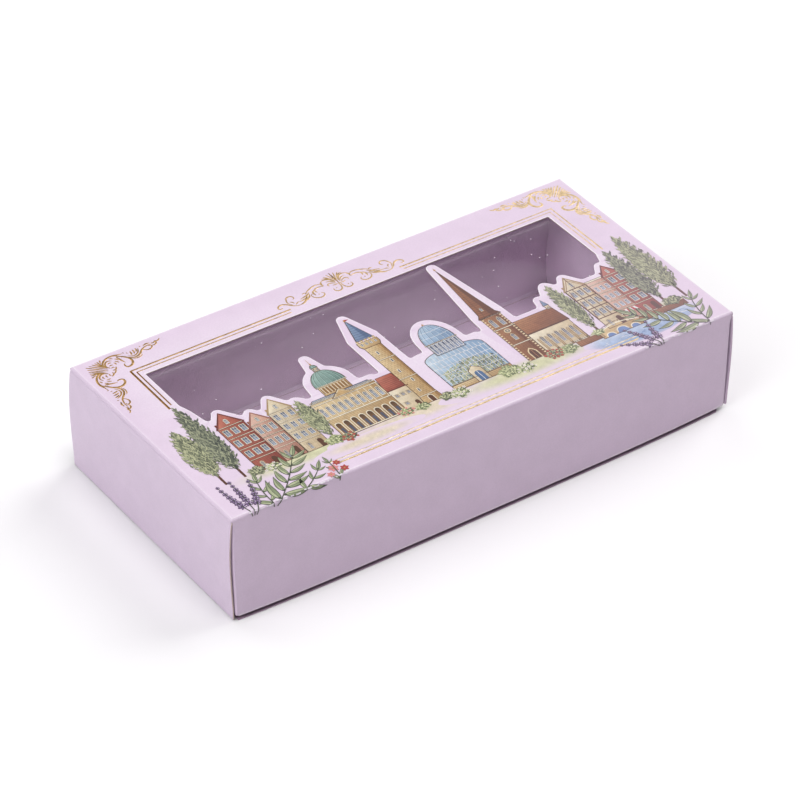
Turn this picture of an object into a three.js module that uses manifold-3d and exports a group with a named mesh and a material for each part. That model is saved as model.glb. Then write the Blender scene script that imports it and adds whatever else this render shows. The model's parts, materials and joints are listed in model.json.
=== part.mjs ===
// A windowed cake box of folded card: a deep lid with a die-cut window, a clear film behind the
// window and an empty tray inside. Millimetres, +Z up. The origin is on the table, in the middle
// of the footprint; +X runs along the box and +Y points to the back.
import * as THREE from 'three';
import { mergeVertices } from 'three/addons/utils/BufferGeometryUtils.js';
import Module from 'manifold-3d';

const wasm = await Module();
wasm.setup();

// Lid
const lidLength = 240;
const lidWidth = 116;
const lidHeight = 48.6;
const card = 0.6;
const foldedWall = 1.2;
const creaseRadius = 1.3;
const endSpring = 0.8;
const frontSpring = 1.2;

// Front and back panels of the lid, set between its end walls, with tabs that turn in behind them
const tabLength = 18;
const slotWidth = 0.8;
const slotTop = 44;
const panelFoot = 0.8;
const panelCorner = 1.8;

// Window
const windowLeft = -97.5;
const windowRight = 98.3;
const windowBack = 37.3;
const groundLine = -30;
const motifMargin = 2.6;
const hollowRadius = 1.2;
const outlineStep = 0.4;
const outlineTolerance = 0.06;

// Film
const filmThickness = 0.25;
const filmGap = 0.3;
const filmOverlap = 8;
const filmFront = -26;

// Tray
const trayInsideLength = 221;
const trayInsideWidth = 104;
const trayHeight = 45;
const traySpring = 0.6;
const trayCreaseRadius = 1;

// Looks of the plain model
const lilac = 0xe6d8e6;
const lilacInside = 0xc9b4c9;
const clear = 0xf4f0f6;

// The printed scene that the window is cut round: each motif's middle and half width along X, and
// its eaves and tip along Y. A spire or gable runs to a point, a dome or tree is round.
const motifs = [
  { shape: 'block', x: 0, half: 118, eaves: -20.5 },
  { shape: 'tree', x: -101, half: 3.8, eaves: -8, tip: 12.5 },
  { shape: 'spire', x: -88.5, half: 5.8, eaves: -9, tip: 0 },
  { shape: 'spire', x: -77.8, half: 4.8, eaves: -14, tip: -6.5 },
  { shape: 'spire', x: -67.5, half: 5.2, eaves: -11.5, tip: -3 },
  { shape: 'tree', x: -59.2, half: 3.2, eaves: -16, tip: -10 },
  { shape: 'block', x: -41, half: 15, eaves: -14 },
  { shape: 'dome', x: -41, half: 8, eaves: -8, tip: 1.5 },
  { shape: 'spire', x: -41, half: 1.3, eaves: 4.5, tip: 10.5 },
  { shape: 'block', x: -21.5, half: 4.5, eaves: -15.5 },
  { shape: 'spire', x: -13.5, half: 4.8, eaves: 9.5, tip: 24.5 },
  { shape: 'block', x: 11, half: 14, eaves: -14 },
  { shape: 'dome', x: 11, half: 7.5, eaves: -9, tip: 4 },
  { shape: 'spire', x: 37, half: 5.4, eaves: -6, tip: 33.8 },
  { shape: 'block', x: 52, half: 10, eaves: -15 },
  { shape: 'spire', x: 60, half: 1.1, eaves: -13, tip: -8.5 },
  { shape: 'tree', x: 67.5, half: 3.4, eaves: -14, tip: -2 },
  { shape: 'spire', x: 77, half: 5.2, eaves: -10, tip: -1.5 },
  { shape: 'block', x: 86.5, half: 4.3, eaves: -9 },
  { shape: 'spire', x: 95, half: 4.2, eaves: -10, tip: -3 },
  { shape: 'tree', x: 102, half: 3.6, eaves: -10, tip: 5 },
];

// Upper outline of one motif, from its left foot to its right foot.
function motifOutline({ shape, x, half, eaves, tip }) {
  const foot = groundLine;
  if (shape === 'block' || shape === 'spire') {
    const ridge = shape === 'spire' ? [[x, tip]] : [];
    return [[x - half, foot], [x - half, eaves], ...ridge, [x + half, eaves], [x + half, foot]];
  }
  const steps = 16;
  const round = [];
  for (let i = 0; i <= steps; i += 1) {
    const turn = Math.PI * (1 - i / steps);
    const narrow = shape === 'tree' ? Math.abs(Math.cos(turn)) ** 1.5 : Math.abs(Math.cos(turn));
    round.push([x + half * Math.sign(Math.cos(turn)) * narrow, eaves + (tip - eaves) * Math.sin(turn)]);
  }
  return [[x - half, foot], ...round, [x + half, foot]];
}

// Points along a polyline, close enough together for the margin to look smooth.
function densified(points, spacing) {
  const out = [];
  for (let i = 0; i + 1 < points.length; i += 1) {
    const [ax, ay] = points[i];
    const [bx, by] = points[i + 1];
    const count = Math.max(1, Math.ceil(Math.hypot(bx - ax, by - ay) / spacing));
    for (let k = 0; k < count; k += 1) {
      out.push([ax + (bx - ax) * k / count, ay + (by - ay) * k / count]);
    }
  }
  out.push(points[points.length - 1]);
  return out;
}

// Drops the points of a polyline that lie within a tolerance of the line through their neighbours.
function thinned(points, tolerance) {
  const [ax, ay] = points[0];
  const [bx, by] = points[points.length - 1];
  const length = Math.hypot(bx - ax, by - ay);
  let far = 0;
  let at = -1;
  for (let i = 1; i < points.length - 1; i += 1) {
    const away = Math.abs((bx - ax) * (points[i][1] - ay) - (by - ay) * (points[i][0] - ax)) / length;
    if (away > far) {
      far = away;
      at = i;
    }
  }
  if (far <= tolerance) {
    return [points[0], points[points.length - 1]];
  }
  const before = thinned(points.slice(0, at + 1), tolerance);
  return [...before.slice(0, -1), ...thinned(points.slice(at), tolerance)];
}

// The curve that a disc reaches when its middle runs along another one, above it or below it.
function reached(curve, across, radius, side) {
  const pick = side > 0 ? Math.max : Math.min;
  return across.map((x) => {
    let height = -side * Infinity;
    for (const [px, py] of curve) {
      const away = Math.abs(x - px);
      if (away < radius) {
        height = pick(height, py + side * Math.sqrt(radius ** 2 - away ** 2));
      }
    }
    return [x, height];
  });
}

// The window's lower edge from left to right: the motifs' outline, grown by a plain margin, with
// its hollows rounded.
function windowSill() {
  const outline = motifs.flatMap((motif) => densified(motifOutline(motif), outlineStep));
  const count = Math.round((windowRight - windowLeft) / outlineStep);
  const spare = Math.ceil(hollowRadius / outlineStep);
  const across = [];
  for (let i = -spare; i <= count + spare; i += 1) {
    across.push(windowLeft + (windowRight - windowLeft) * i / count);
  }
  const far = reached(outline, across, motifMargin + hollowRadius, 1);
  const sill = reached(far, across.slice(spare, -spare), hollowRadius, -1);
  return thinned(sill, outlineTolerance);
}

function solidOf(geometry) {
  const bare = geometry.index ? geometry.clone() : geometry;
  bare.deleteAttribute('normal');
  bare.deleteAttribute('uv');
  const merged = mergeVertices(bare, 1e-4);
  const mesh = new wasm.Mesh({
    numProp: 3,
    vertProperties: new Float32Array(merged.attributes.position.array),
    triVerts: new Uint32Array(merged.index.array),
  });
  return new wasm.Manifold(mesh);
}

function geometryOf(solid) {
  const mesh = solid.getMesh();
  const geometry = new THREE.BufferGeometry();
  geometry.setAttribute('position', new THREE.BufferAttribute(new Float32Array(mesh.vertProperties), 3));
  geometry.setIndex(new THREE.BufferAttribute(new Uint32Array(mesh.triVerts), 1));
  geometry.computeVertexNormals();
  return geometry;
}

// A closed shape through rings of equally many points, lowest ring first, each ring running
// anticlockwise seen from above.
function loft(rings) {
  const count = rings[0].length;
  const points = rings.flat();
  const faces = [];
  for (let level = 0; level + 1 < rings.length; level += 1) {
    for (let i = 0; i < count; i += 1) {
      const a = level * count + i;
      const b = level * count + (i + 1) % count;
      faces.push(a, b, b + count, a, b + count, a + count);
    }
  }
  const top = (rings.length - 1) * count;
  const foot = points.push([0, 0, rings[0][0][2]]) - 1;
  const roof = points.push([0, 0, rings[rings.length - 1][0][2]]) - 1;
  for (let i = 0; i < count; i += 1) {
    const next = (i + 1) % count;
    faces.push(foot, next, i, roof, top + i, top + next);
  }
  const geometry = new THREE.BufferGeometry();
  geometry.setAttribute('position', new THREE.BufferAttribute(new Float32Array(points.flat()), 3));
  geometry.setIndex(faces);
  return geometry;
}

// One ring of a box: its half sizes, and how far the long sides stand out at their middle.
function ring(halfX, halfY, belly, z) {
  const alongX = 12;
  const alongY = 4;
  const bellied = (x) => halfY + belly * (1 - (x / halfX) ** 2);
  const points = [];
  for (let i = 0; i < alongX; i += 1) {
    const x = halfX * (2 * i / alongX - 1);
    points.push([x, -bellied(x), z]);
  }
  for (let i = 0; i < alongY; i += 1) {
    points.push([halfX, halfY * (2 * i / alongY - 1), z]);
  }
  for (let i = 0; i < alongX; i += 1) {
    const x = halfX * (1 - 2 * i / alongX);
    points.push([x, bellied(x), z]);
  }
  for (let i = 0; i < alongY; i += 1) {
    points.push([-halfX, halfY * (1 - 2 * i / alongY), z]);
  }
  return points;
}

// Half length of the lid at a height: its ends spring out between the crease and the table.
function endBow(z) {
  return endSpring * Math.sin(Math.PI * THREE.MathUtils.clamp(z / lidHeight, 0, 1));
}

// The lid's form, drawn in from its outside by a wall and a roof thickness, with creased top edges.
function lidForm(wall, roof, lowest) {
  const radius = Math.max(0.4, creaseRadius - wall);
  const top = lidHeight - roof;
  const levels = [];
  for (const share of [0, 0.12, 0.25, 0.38, 0.5, 0.62, 0.75, 0.88, 1]) {
    levels.push({ z: lowest + (top - radius - lowest) * share, inset: 0 });
  }
  for (const turn of [30, 60, 90].map(THREE.MathUtils.degToRad)) {
    levels.push({ z: top - radius * (1 - Math.sin(turn)), inset: radius * (1 - Math.cos(turn)) });
  }
  return levels.map(({ z, inset }) => {
    const drawnIn = wall + inset;
    const belly = frontSpring * (1 - THREE.MathUtils.clamp(z / lidHeight, 0, 1));
    return ring(lidLength / 2 + endBow(z) - drawnIn, lidWidth / 2 - drawnIn, belly, z);
  });
}

// An outline in X and Y pushed up from one height to another.
function upright(outline, low, high) {
  const shape = new THREE.Shape(outline.map(([x, y]) => new THREE.Vector2(x, y)));
  const geometry = new THREE.ExtrudeGeometry(shape, { depth: high - low, bevelEnabled: false });
  geometry.translate(0, 0, low);
  return geometry;
}

function windowCut() {
  const sill = windowSill();
  const outline = [...sill, [windowRight, windowBack], [windowLeft, windowBack]];
  return solidOf(upright(outline, lidHeight - 3, lidHeight + 1));
}

// The gap between an end wall and the front panel beside it, seen from the front: straight on the
// panel's side with a rounded foot, and bowed with the end wall.
function endSlot(side, front) {
  const panelEnd = lidLength / 2 - foldedWall - slotWidth;
  const outline = [];
  const steps = 5;
  for (let i = 0; i <= steps; i += 1) {
    const turn = Math.PI / 2 * i / steps;
    const z = panelFoot + panelCorner * (1 - Math.cos(turn));
    outline.push([panelEnd - panelCorner * (1 - Math.sin(turn)), z]);
  }
  outline.unshift([outline[0][0], -1]);
  outline.push([panelEnd + slotWidth / 2, slotTop]);
  for (let i = 8; i >= 0; i -= 1) {
    const z = slotTop * i / 8;
    outline.push([lidLength / 2 - foldedWall + endBow(z), z]);
  }
  outline.push([lidLength / 2 - foldedWall, -1]);
  const shape = new THREE.Shape(outline.map(([x, z]) => new THREE.Vector2(side * x, z)));
  const depth = foldedWall + 2;
  const geometry = new THREE.ExtrudeGeometry(shape, { depth, bevelEnabled: false });
  geometry.rotateX(Math.PI / 2);
  geometry.translate(0, front * (lidWidth / 2 - foldedWall / 2) + depth / 2, 0);
  return solidOf(geometry);
}

// The front and back panels end a little above the table, between the end walls.
function panelFootCut() {
  const length = lidLength - 2 * (foldedWall + slotWidth + panelCorner);
  const geometry = new THREE.BoxGeometry(length, lidWidth + 20, 2 * panelFoot);
  return solidOf(geometry);
}

// The tab at one end of the front or back panel, turned in along the end wall.
function cornerTab(side, front) {
  const height = slotTop - panelFoot - panelCorner;
  const geometry = new THREE.BoxGeometry(card, tabLength, height);
  const x = side * (lidLength / 2 - foldedWall - slotWidth - card / 2);
  const y = front * (lidWidth / 2 - foldedWall / 2 - tabLength / 2);
  geometry.translate(x, y, slotTop - height / 2);
  return solidOf(geometry);
}

function makeLid() {
  let lid = solidOf(loft(lidForm(0, 0, 0)));
  lid = lid.subtract(solidOf(loft(lidForm(foldedWall, card, -1))));
  lid = lid.subtract(windowCut());
  lid = lid.subtract(panelFootCut());
  for (const side of [-1, 1]) {
    for (const front of [-1, 1]) {
      lid = lid.subtract(endSlot(side, front));
      lid = lid.add(cornerTab(side, front));
    }
  }
  return geometryOf(lid);
}

// A plain sheet under the roof of the lid, past the window on every side.
function makeFilm() {
  const left = windowLeft - filmOverlap;
  const right = windowRight + filmOverlap;
  const back = windowBack + filmOverlap;
  const geometry = new THREE.BoxGeometry(right - left, back - filmFront, filmThickness);
  const z = lidHeight - card - filmGap - filmThickness / 2;
  geometry.translate((left + right) / 2, (back + filmFront) / 2, z);
  return geometry;
}

// The tray's form, creased along its foot, with walls that spring out towards their open top.
function trayForm(grown, floor, highest) {
  const radius = trayCreaseRadius;
  const levels = [];
  for (const turn of [90, 60, 30, 0].map(THREE.MathUtils.degToRad)) {
    levels.push({ z: floor + radius * (1 - Math.sin(turn)), inset: radius * (1 - Math.cos(turn)) });
  }
  for (const share of [0.33, 0.67, 1]) {
    levels.push({ z: floor + radius + (highest - floor - radius) * share, inset: 0 });
  }
  return levels.map(({ z, inset }) => {
    const belly = traySpring * z / trayHeight;
    return ring(trayInsideLength / 2 + grown - inset, trayInsideWidth / 2 + grown - inset, belly, z);
  });
}

function makeTray() {
  const outside = solidOf(loft(trayForm(foldedWall, 0, trayHeight)));
  const inside = solidOf(loft(trayForm(0, card, trayHeight + 1)));
  return geometryOf(outside.subtract(inside));
}

function finished(name, geometry, color, roughness, extras = {}) {
  const material = new THREE.MeshStandardMaterial({ color, roughness, metalness: 0, ...extras });
  const mesh = new THREE.Mesh(geometry, material);
  mesh.name = name;
  return mesh;
}

const box = new THREE.Group();
box.add(finished('tray', makeTray(), lilacInside, 0.7));

const lid = new THREE.Group();
lid.add(finished('lid', makeLid(), lilac, 0.6));
lid.add(finished('window_film', makeFilm(), clear, 0.08, { transparent: true, opacity: 0.2 }));
box.add(lid);

export default box;
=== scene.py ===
import json
import math
import random

import bmesh
import bpy
from mathutils import Euler, Matrix, Vector
from mathutils.geometry import delaunay_2d_cdt

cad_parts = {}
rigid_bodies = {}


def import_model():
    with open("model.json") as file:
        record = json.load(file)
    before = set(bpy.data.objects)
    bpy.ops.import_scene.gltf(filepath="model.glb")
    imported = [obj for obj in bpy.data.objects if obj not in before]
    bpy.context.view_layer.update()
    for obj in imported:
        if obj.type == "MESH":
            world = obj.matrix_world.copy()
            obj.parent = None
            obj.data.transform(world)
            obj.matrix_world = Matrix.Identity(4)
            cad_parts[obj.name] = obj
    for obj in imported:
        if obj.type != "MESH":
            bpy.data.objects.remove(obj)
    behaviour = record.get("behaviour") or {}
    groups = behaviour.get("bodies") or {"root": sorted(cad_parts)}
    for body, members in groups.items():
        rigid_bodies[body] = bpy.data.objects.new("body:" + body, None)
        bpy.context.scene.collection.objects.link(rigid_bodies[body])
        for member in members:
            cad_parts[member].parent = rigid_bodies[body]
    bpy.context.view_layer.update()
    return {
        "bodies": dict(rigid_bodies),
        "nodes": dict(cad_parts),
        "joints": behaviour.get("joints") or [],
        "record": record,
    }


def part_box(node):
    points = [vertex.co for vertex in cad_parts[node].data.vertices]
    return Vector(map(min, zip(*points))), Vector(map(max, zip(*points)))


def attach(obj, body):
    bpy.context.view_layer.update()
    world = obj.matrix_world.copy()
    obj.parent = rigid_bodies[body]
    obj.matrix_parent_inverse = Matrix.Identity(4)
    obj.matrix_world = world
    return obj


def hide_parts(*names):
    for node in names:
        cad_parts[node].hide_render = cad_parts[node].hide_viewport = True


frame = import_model()

# Sizes are in millimetres up to the point where a mesh is made.
MM = 0.001

lid_high, tray_high = (Vector(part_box(node)[1]) / MM for node in ("lid", "tray"))
film_low, film_high = (Vector(corner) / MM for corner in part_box("window_film"))

# The lid's folded card: its thickness, that of its two-ply walls, its creases, how far its corners lie
# in from the solid's box at the ends and sides, how far its roof rises past it, and its softened edges
BOARD = 0.55
WALL = 1.2
FOOT_TURN = WALL / 2
CREASE = 0.95
ROOF_MARGIN = 2.4
PRESSED_DROP = 0.9
PRESSED_WIDTH = 0.45
CORNER_IN_FROM_END = 0.8
CORNER_IN_FROM_SIDE = 0.7
ROOF_RISE = 0.3
SOFT_EDGE = 0.06
HEIGHT = lid_high.z + ROOF_RISE
HALF_LENGTH = lid_high.x - CORNER_IN_FROM_END
HALF_WIDTH = lid_high.y - CORNER_IN_FROM_SIDE

# The front and back panels: how they spring, lean, twist and curl, their foot, corners, folds and tabs
FRONT_SPRING = 2.2
FRONT_LEAN = 0.5
FRONT_TWIST = 0.85
FOOT_CURL = 0.3
FOOT_CURL_HEIGHT = 11
PANEL_FOOT = 2.2
PANEL_CORNER = 0.4
PANEL_FOLD = 0.8
SHARP_FOLD = 0.04
TAB_LENGTH = 18
TAB_TAPER = 0.05
FRONT_GROOVE = 0.05

# The end walls: their inner ply's top and how far its ends are set back, their groove and bow
INNER_PLY_TOP = 45.5
INNER_PLY_BACK = 3
END_GROOVE = 0.3
END_BOW_SHAPE = 1.35

# The lid's left and right ends (-1 and 1): how far the wall springs out, the slot beside it and how far
# the panel follows the wall, the height of the wall's foot
END_SPRING = {-1: 1.15, 1: 0.85}
PANEL_SLOT = {-1: 0.35, 1: 0.3}
PANEL_FOLLOW = {-1: 0.6, 1: 0}
END_FOOT = {-1: 0, 1: 2.5}

# The window
WINDOW_LEFT = -97.9
WINDOW_RIGHT = 98.7
WINDOW_BACK = 37.8
GROUND_LINE = -30
MOTIF_MARGIN = 2.6
HOLLOW_RADIUS = 1.2
OUTLINE_STEP = 0.4
OUTLINE_TOLERANCE = 0.05
LIP_WIDTH = 0.5
LIP_DROP = 0.07
FILM_THICKNESS = 0.12
FILM_WAVE = 0.03

# The film's haze, partly its own and partly painted light: its strength from patch to patch, and the place
# along X about which it is weakest, as painted shade inside
FILM_HAZE = (0.03, 0.048)
LEAST_HAZE_X = 62
LEAST_HAZE_REACH = (12, 45)

# Painted light and shadow along the window's back edge: distances in from the edge and strengths of the pale
# rim of painted light, the pale bead of painted highlight and the dark seam of painted shadow
LIT_RIM_INSIDE = (8, 1)
LIT_RIM = 0.03
HIGHLIGHT_BEAD_INSIDE = 2.1
HIGHLIGHT_BEAD_REACH = (0.3, 0.7)
HIGHLIGHT_BEAD = 0.04
SHADOW_SEAM_INSIDE = (1.3, 0.9)
SHADOW_SEAM = 0.08

# The painted sheen on the film: its rounded end's middle and reach along X, its reach along Y, its strength
SHEEN_MIDDLE = 44
SHEEN_LONG = 35.5
SHEEN_WIDE = 29
SHEEN = 0.034

# Specks of dust on the film: how many, the seed that places them and their sizes
DUST_SPECKS = 46
DUST_SEED = 4
DUST_SIZES = (0.16, 0.34)

# The tray's folded card
TRAY_SPRING = 0.6
TRAY_CREASE = 1.0
TRAY_TOP = tray_high.z
TRAY_HALF_LENGTH = tray_high.x
TRAY_HALF_WIDTH = tray_high.y - TRAY_SPRING
PLY_BOW = 1.3
PLY_BOW_HEIGHT = 16
PLY_BOW_REACH = 13
PLY_FOOT = 0.74
PLY_FLANGE = 2.2

# The base card: its thickness, how far it stays inside the lid's ends and panels, how far it reaches in
# under the tray, and its cut right corners
BASE_CARD = 0.2
BASE_CARD_END_GAP = 0.5
BASE_CARD_SIDE_GAP = 0.3
BASE_CARD_OVERLAP = 0.9
BASE_CARD_CORNER = 4
BASE_CARD_RIGHT_SHARE = 0.975

# Print: how far the inks lie over the card, what each further level adds, how deep they reach into it,
# and the steps of a soft line
INK_LIFT = 0.02
INK_LAYER = 0.005
INK_DEPTH = 0.12
SOFT_STEP = 0.35

# Where the card turns to painted shade along Y past the front crease, and to painted light along X towards
# the right end inside, and where the raw edges turn lilac there
FRONT_SHADE_END = (0.6 - HALF_WIDTH, -HALF_WIDTH)
INSIDE_LIGHT_END = (112, 115)
LILAC_EDGE_END = (110, 116)

# The printed scene: each motif's shape, middle and half width along X, and its eaves and tip along Y
MOTIFS = {
    "ground": ("block", 0, 118, -20.5, 0),
    "poplar": ("tree", -101, 3.8, -8, 12.5),
    "tall_house": ("spire", -88.5, 5.8, -9, 0),
    "small_house": ("spire", -77.8, 4.8, -14, -6.5),
    "wide_house": ("spire", -67.5, 5.2, -11.5, -3),
    "hedge_tree": ("tree", -59.2, 3.2, -16, -10),
    "hall": ("block", -41, 15, -14, 0),
    "hall_dome": ("dome", -41, 8, -8, 1.5),
    "lantern": ("spire", -41, 1.3, 4.5, 10.5),
    "cottage": ("block", -21.5, 4.5, -15.5, 0),
    "watch_tower": ("spire", -13.5, 4.8, 9.5, 24.5),
    "glasshouse": ("block", 11, 14, -14, 0),
    "glass_dome": ("dome", 11, 7.5, -9, 4),
    "steeple": ("spire", 37, 5.4, -6, 33.8),
    "nave": ("block", 52, 10, -15, 0),
    "turret": ("spire", 60, 1.1, -13, -8.5),
    "garden_tree": ("tree", 67.5, 3.4, -14, -2),
    "timber_house": ("spire", 77, 5.2, -10, -1.5),
    "corner_shop": ("block", 86.5, 4.3, -9, 0),
    "brick_house": ("spire", 95, 4.2, -10, -3),
    "quay_tree": ("tree", 102, 3.6, -10, 5),
}

# How bright a surface is painted, so that the studio's lights show its colour as it is given here
LIT = 0.73


# Small sums

def smooth(t):
    """0 to 1 as t goes from 0 to 1, with soft ends."""
    t = min(1, max(0, t))
    return t * t * (3 - 2 * t)


def mixed(a, b, t):
    """A point or colour on the way from a to b."""
    return tuple(p + (q - p) * t for p, q in zip(a, b))


def paint(red, green, blue, cover=1):
    """A colour as it looks on the lit roof, 0 to 255, turned into the one that a shader takes. The cover
    is how much of the card it hides."""
    def linear(value):
        value = value / 255
        return LIT * (value / 12.92 if value <= 0.04045 else ((value + 0.055) / 1.055) ** 2.4)
    return (linear(red), linear(green), linear(blue), cover)


# Colours of the board, the film, the floor, the foil and the inks
LILAC = paint(236, 217, 237)
# the front panel in a darker lilac: painted shade
LILAC_FRONT_SHADE = paint(231, 209, 232)
# pale ink at the folds: worn ink, and painted highlight along the creases
LILAC_WORN_AND_HIGHLIGHT = paint(252, 243, 253)
# the tray's card, painted paler than the lid's lilac and paler again at its right end: painted light
LILAC_INSIDE_LIT = (0.795, 0.64, 0.78, 1)
INSIDE_PAINTED_LIGHT = (0.92, 0.81, 0.93, 1)
# the base card's dark lilac: painted shade under the front panel
LILAC_PAINTED_SHADE = (0.4, 0.28, 0.385, 1)
BOARD_CORE = paint(236, 218, 208)
BOARD_GREY = paint(206, 184, 176)
# the colour that the raw edges turn at the right end
BOARD_LILAC_END = paint(214, 186, 214)
FILM_TINT = (0.97, 0.965, 0.975, 1)
# the film's haze, which also paints light, and its painted shadow
FILM_HAZE_AND_LIGHT = (1, 0.97, 1, 1)
FILM_SHADOW = (0.1, 0.06, 0.1, 1)
DUST = (0.85, 0.83, 0.86, 1)
FLOOR = (0.8, 0.8, 0.805, 1)
GOLD = (0.56, 0.335, 0.13, 1)
# the darker gold of the left sides: painted shade
GOLD_SHADED = (0.33, 0.16, 0.045, 1)
# pale gold strips: painted highlight on the foil
GOLD_HIGHLIGHT = (1.0, 0.86, 0.6, 1)
# the paler gold towards the right: painted light
GOLD_LIT = (0.76, 0.57, 0.33, 1)
OUTLINE = paint(90, 64, 50)
STONE = (paint(236, 214, 172), paint(206, 172, 122), paint(150, 112, 72))
CREAM = (paint(246, 236, 212), paint(226, 206, 170), paint(178, 150, 112))
BRICK = (paint(206, 132, 112), paint(172, 88, 74), paint(116, 54, 50))
SHINGLE = (paint(190, 138, 98), paint(150, 96, 64), paint(98, 60, 42))
SLATE = (paint(176, 194, 218), paint(120, 142, 176), paint(74, 92, 128))
COPPER = (paint(182, 206, 196), paint(128, 160, 152), paint(80, 110, 106))
GLASS = (paint(214, 230, 242), paint(148, 178, 208), paint(86, 114, 152))
PANE = paint(86, 92, 112)
LEAF = (paint(194, 196, 156), paint(140, 146, 116), paint(80, 84, 72))
PINE = (paint(168, 172, 142), paint(114, 120, 102), paint(64, 70, 66))
SPRAY = (paint(202, 208, 170), paint(156, 168, 130), paint(80, 88, 68))
HEDGE = (paint(218, 222, 174), paint(174, 184, 132), paint(98, 108, 82))
WATER = (paint(206, 220, 240), paint(160, 184, 220), paint(112, 142, 192))
LAWN = paint(222, 222, 178)
SAND = paint(236, 222, 196)
LAVENDER = (paint(208, 190, 218), paint(146, 122, 162), paint(88, 66, 102))
ROSE = (paint(232, 150, 150), paint(190, 78, 76), paint(130, 44, 50))
BLOSSOM = paint(250, 244, 240)
PLASTER = (paint(240, 206, 190), paint(214, 164, 142), paint(158, 106, 92))
PANE_LIGHT = paint(150, 164, 190)
DOOR = paint(96, 62, 46)
ARCADE = paint(84, 60, 48)
WHITE = paint(246, 242, 240)
GILT = paint(196, 150, 84)


# Meshes

def new_object(name, mesh):
    piece = bpy.data.objects.new(name, mesh)
    bpy.context.scene.collection.objects.link(piece)
    return piece


def remove(piece):
    data = piece.data
    bpy.data.objects.remove(piece)
    bpy.data.meshes.remove(data)


def evaluated(piece):
    """A plain mesh of the piece as its modifiers make it."""
    depsgraph = bpy.context.evaluated_depsgraph_get()
    return bpy.data.meshes.new_from_object(piece.evaluated_get(depsgraph), depsgraph=depsgraph)


def applied(piece):
    """The piece's modifiers become its own mesh."""
    old, piece.data = piece.data, evaluated(piece)
    piece.modifiers.clear()
    bpy.data.meshes.remove(old)
    piece.data.name = piece.name


def shaded(piece, angle=35):
    """Smooth shading with the edges past an angle left sharp."""
    piece.data.shade_smooth()
    piece.data.set_sharp_from_angle(angle=math.radians(angle))
    return piece


def within(point, outline):
    """Whether a point lies inside a closed outline."""
    x, y = point
    inside = False
    for (ax, ay), (bx, by) in zip(outline, outline[1:] + outline[:1]):
        if (ay > y) != (by > y) and x < ax + (bx - ax) * (y - ay) / (by - ay):
            inside = not inside
    return inside


def built(name, points, edges, faces):
    """A plain mesh from its parts."""
    mesh = bpy.data.meshes.new(name)
    mesh.from_pydata(points, edges, faces)
    return mesh


def marked(mesh, name, kind, member, values):
    """Stores a value or colour on each point of a mesh."""
    mesh.attributes.new(name, kind, "POINT").data.foreach_set(member, values)


def woven(sheet, grid):
    """Faces between rows of vertices."""
    for row, following in zip(grid, grid[1:]):
        for i in range(len(row) - 1):
            sheet.faces.new((row[i], row[i + 1], following[i + 1], following[i]))


def sheet_object(sheet, name, *materials):
    """A finished sheet as an object with its materials."""
    mesh = bpy.data.meshes.new(name)
    sheet.to_mesh(mesh)
    sheet.free()
    for material in materials:
        mesh.materials.append(material)
    return new_object(name, mesh)


def filled(outline, hole=None, spots=()):
    """Triangles that fill an outline, less a hole, through given spots: (points, corners of each)."""
    points, edges = [], []
    for loop in (outline, hole or []):
        first = len(points)
        points += [Vector(point) for point in loop]
        edges += [(first + i, first + (i + 1) % len(loop)) for i in range(len(loop))]
    points += [Vector(spot) for spot in spots if within(spot, outline)]
    points, _, faces, *_ = delaunay_2d_cdt(points, edges, [], 0, 1e-6)
    kept = []
    for corners in faces:
        middle = sum((points[i] for i in corners), Vector((0, 0))) / 3
        if within(middle, outline) and not (hole and within(middle, hole)):
            kept.append(corners)
    return [tuple(point) for point in points], kept


# Geometry Nodes

def new_node(group, kind, inputs, settings):
    """A new node with its inputs linked or set by name or number. Returns its outputs."""
    node = group.nodes.new(kind)
    for name, value in settings.items():
        setattr(node, name, value)
    for key, value in inputs.items():
        if isinstance(value, bpy.types.NodeSocket):
            group.links.new(value, node.inputs[key])
        else:
            node.inputs[key].default_value = value
    return node.outputs


class Maker:
    """Adds nodes to one group."""

    def add(self, kind, inputs, **settings):
        return new_node(self.group, kind, inputs, settings)

    def math(self, operation, a, b=0.0):
        return self.add("ShaderNodeMath", {0: a, 1: b}, operation=operation)[0]

    def times(self, a, b):
        return self.math("MULTIPLY", a, b)

    def plus(self, a, b):
        return self.math("ADD", a, b)

    def vector(self, **parts):
        return self.add("ShaderNodeCombineXYZ", parts)[0]


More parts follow.
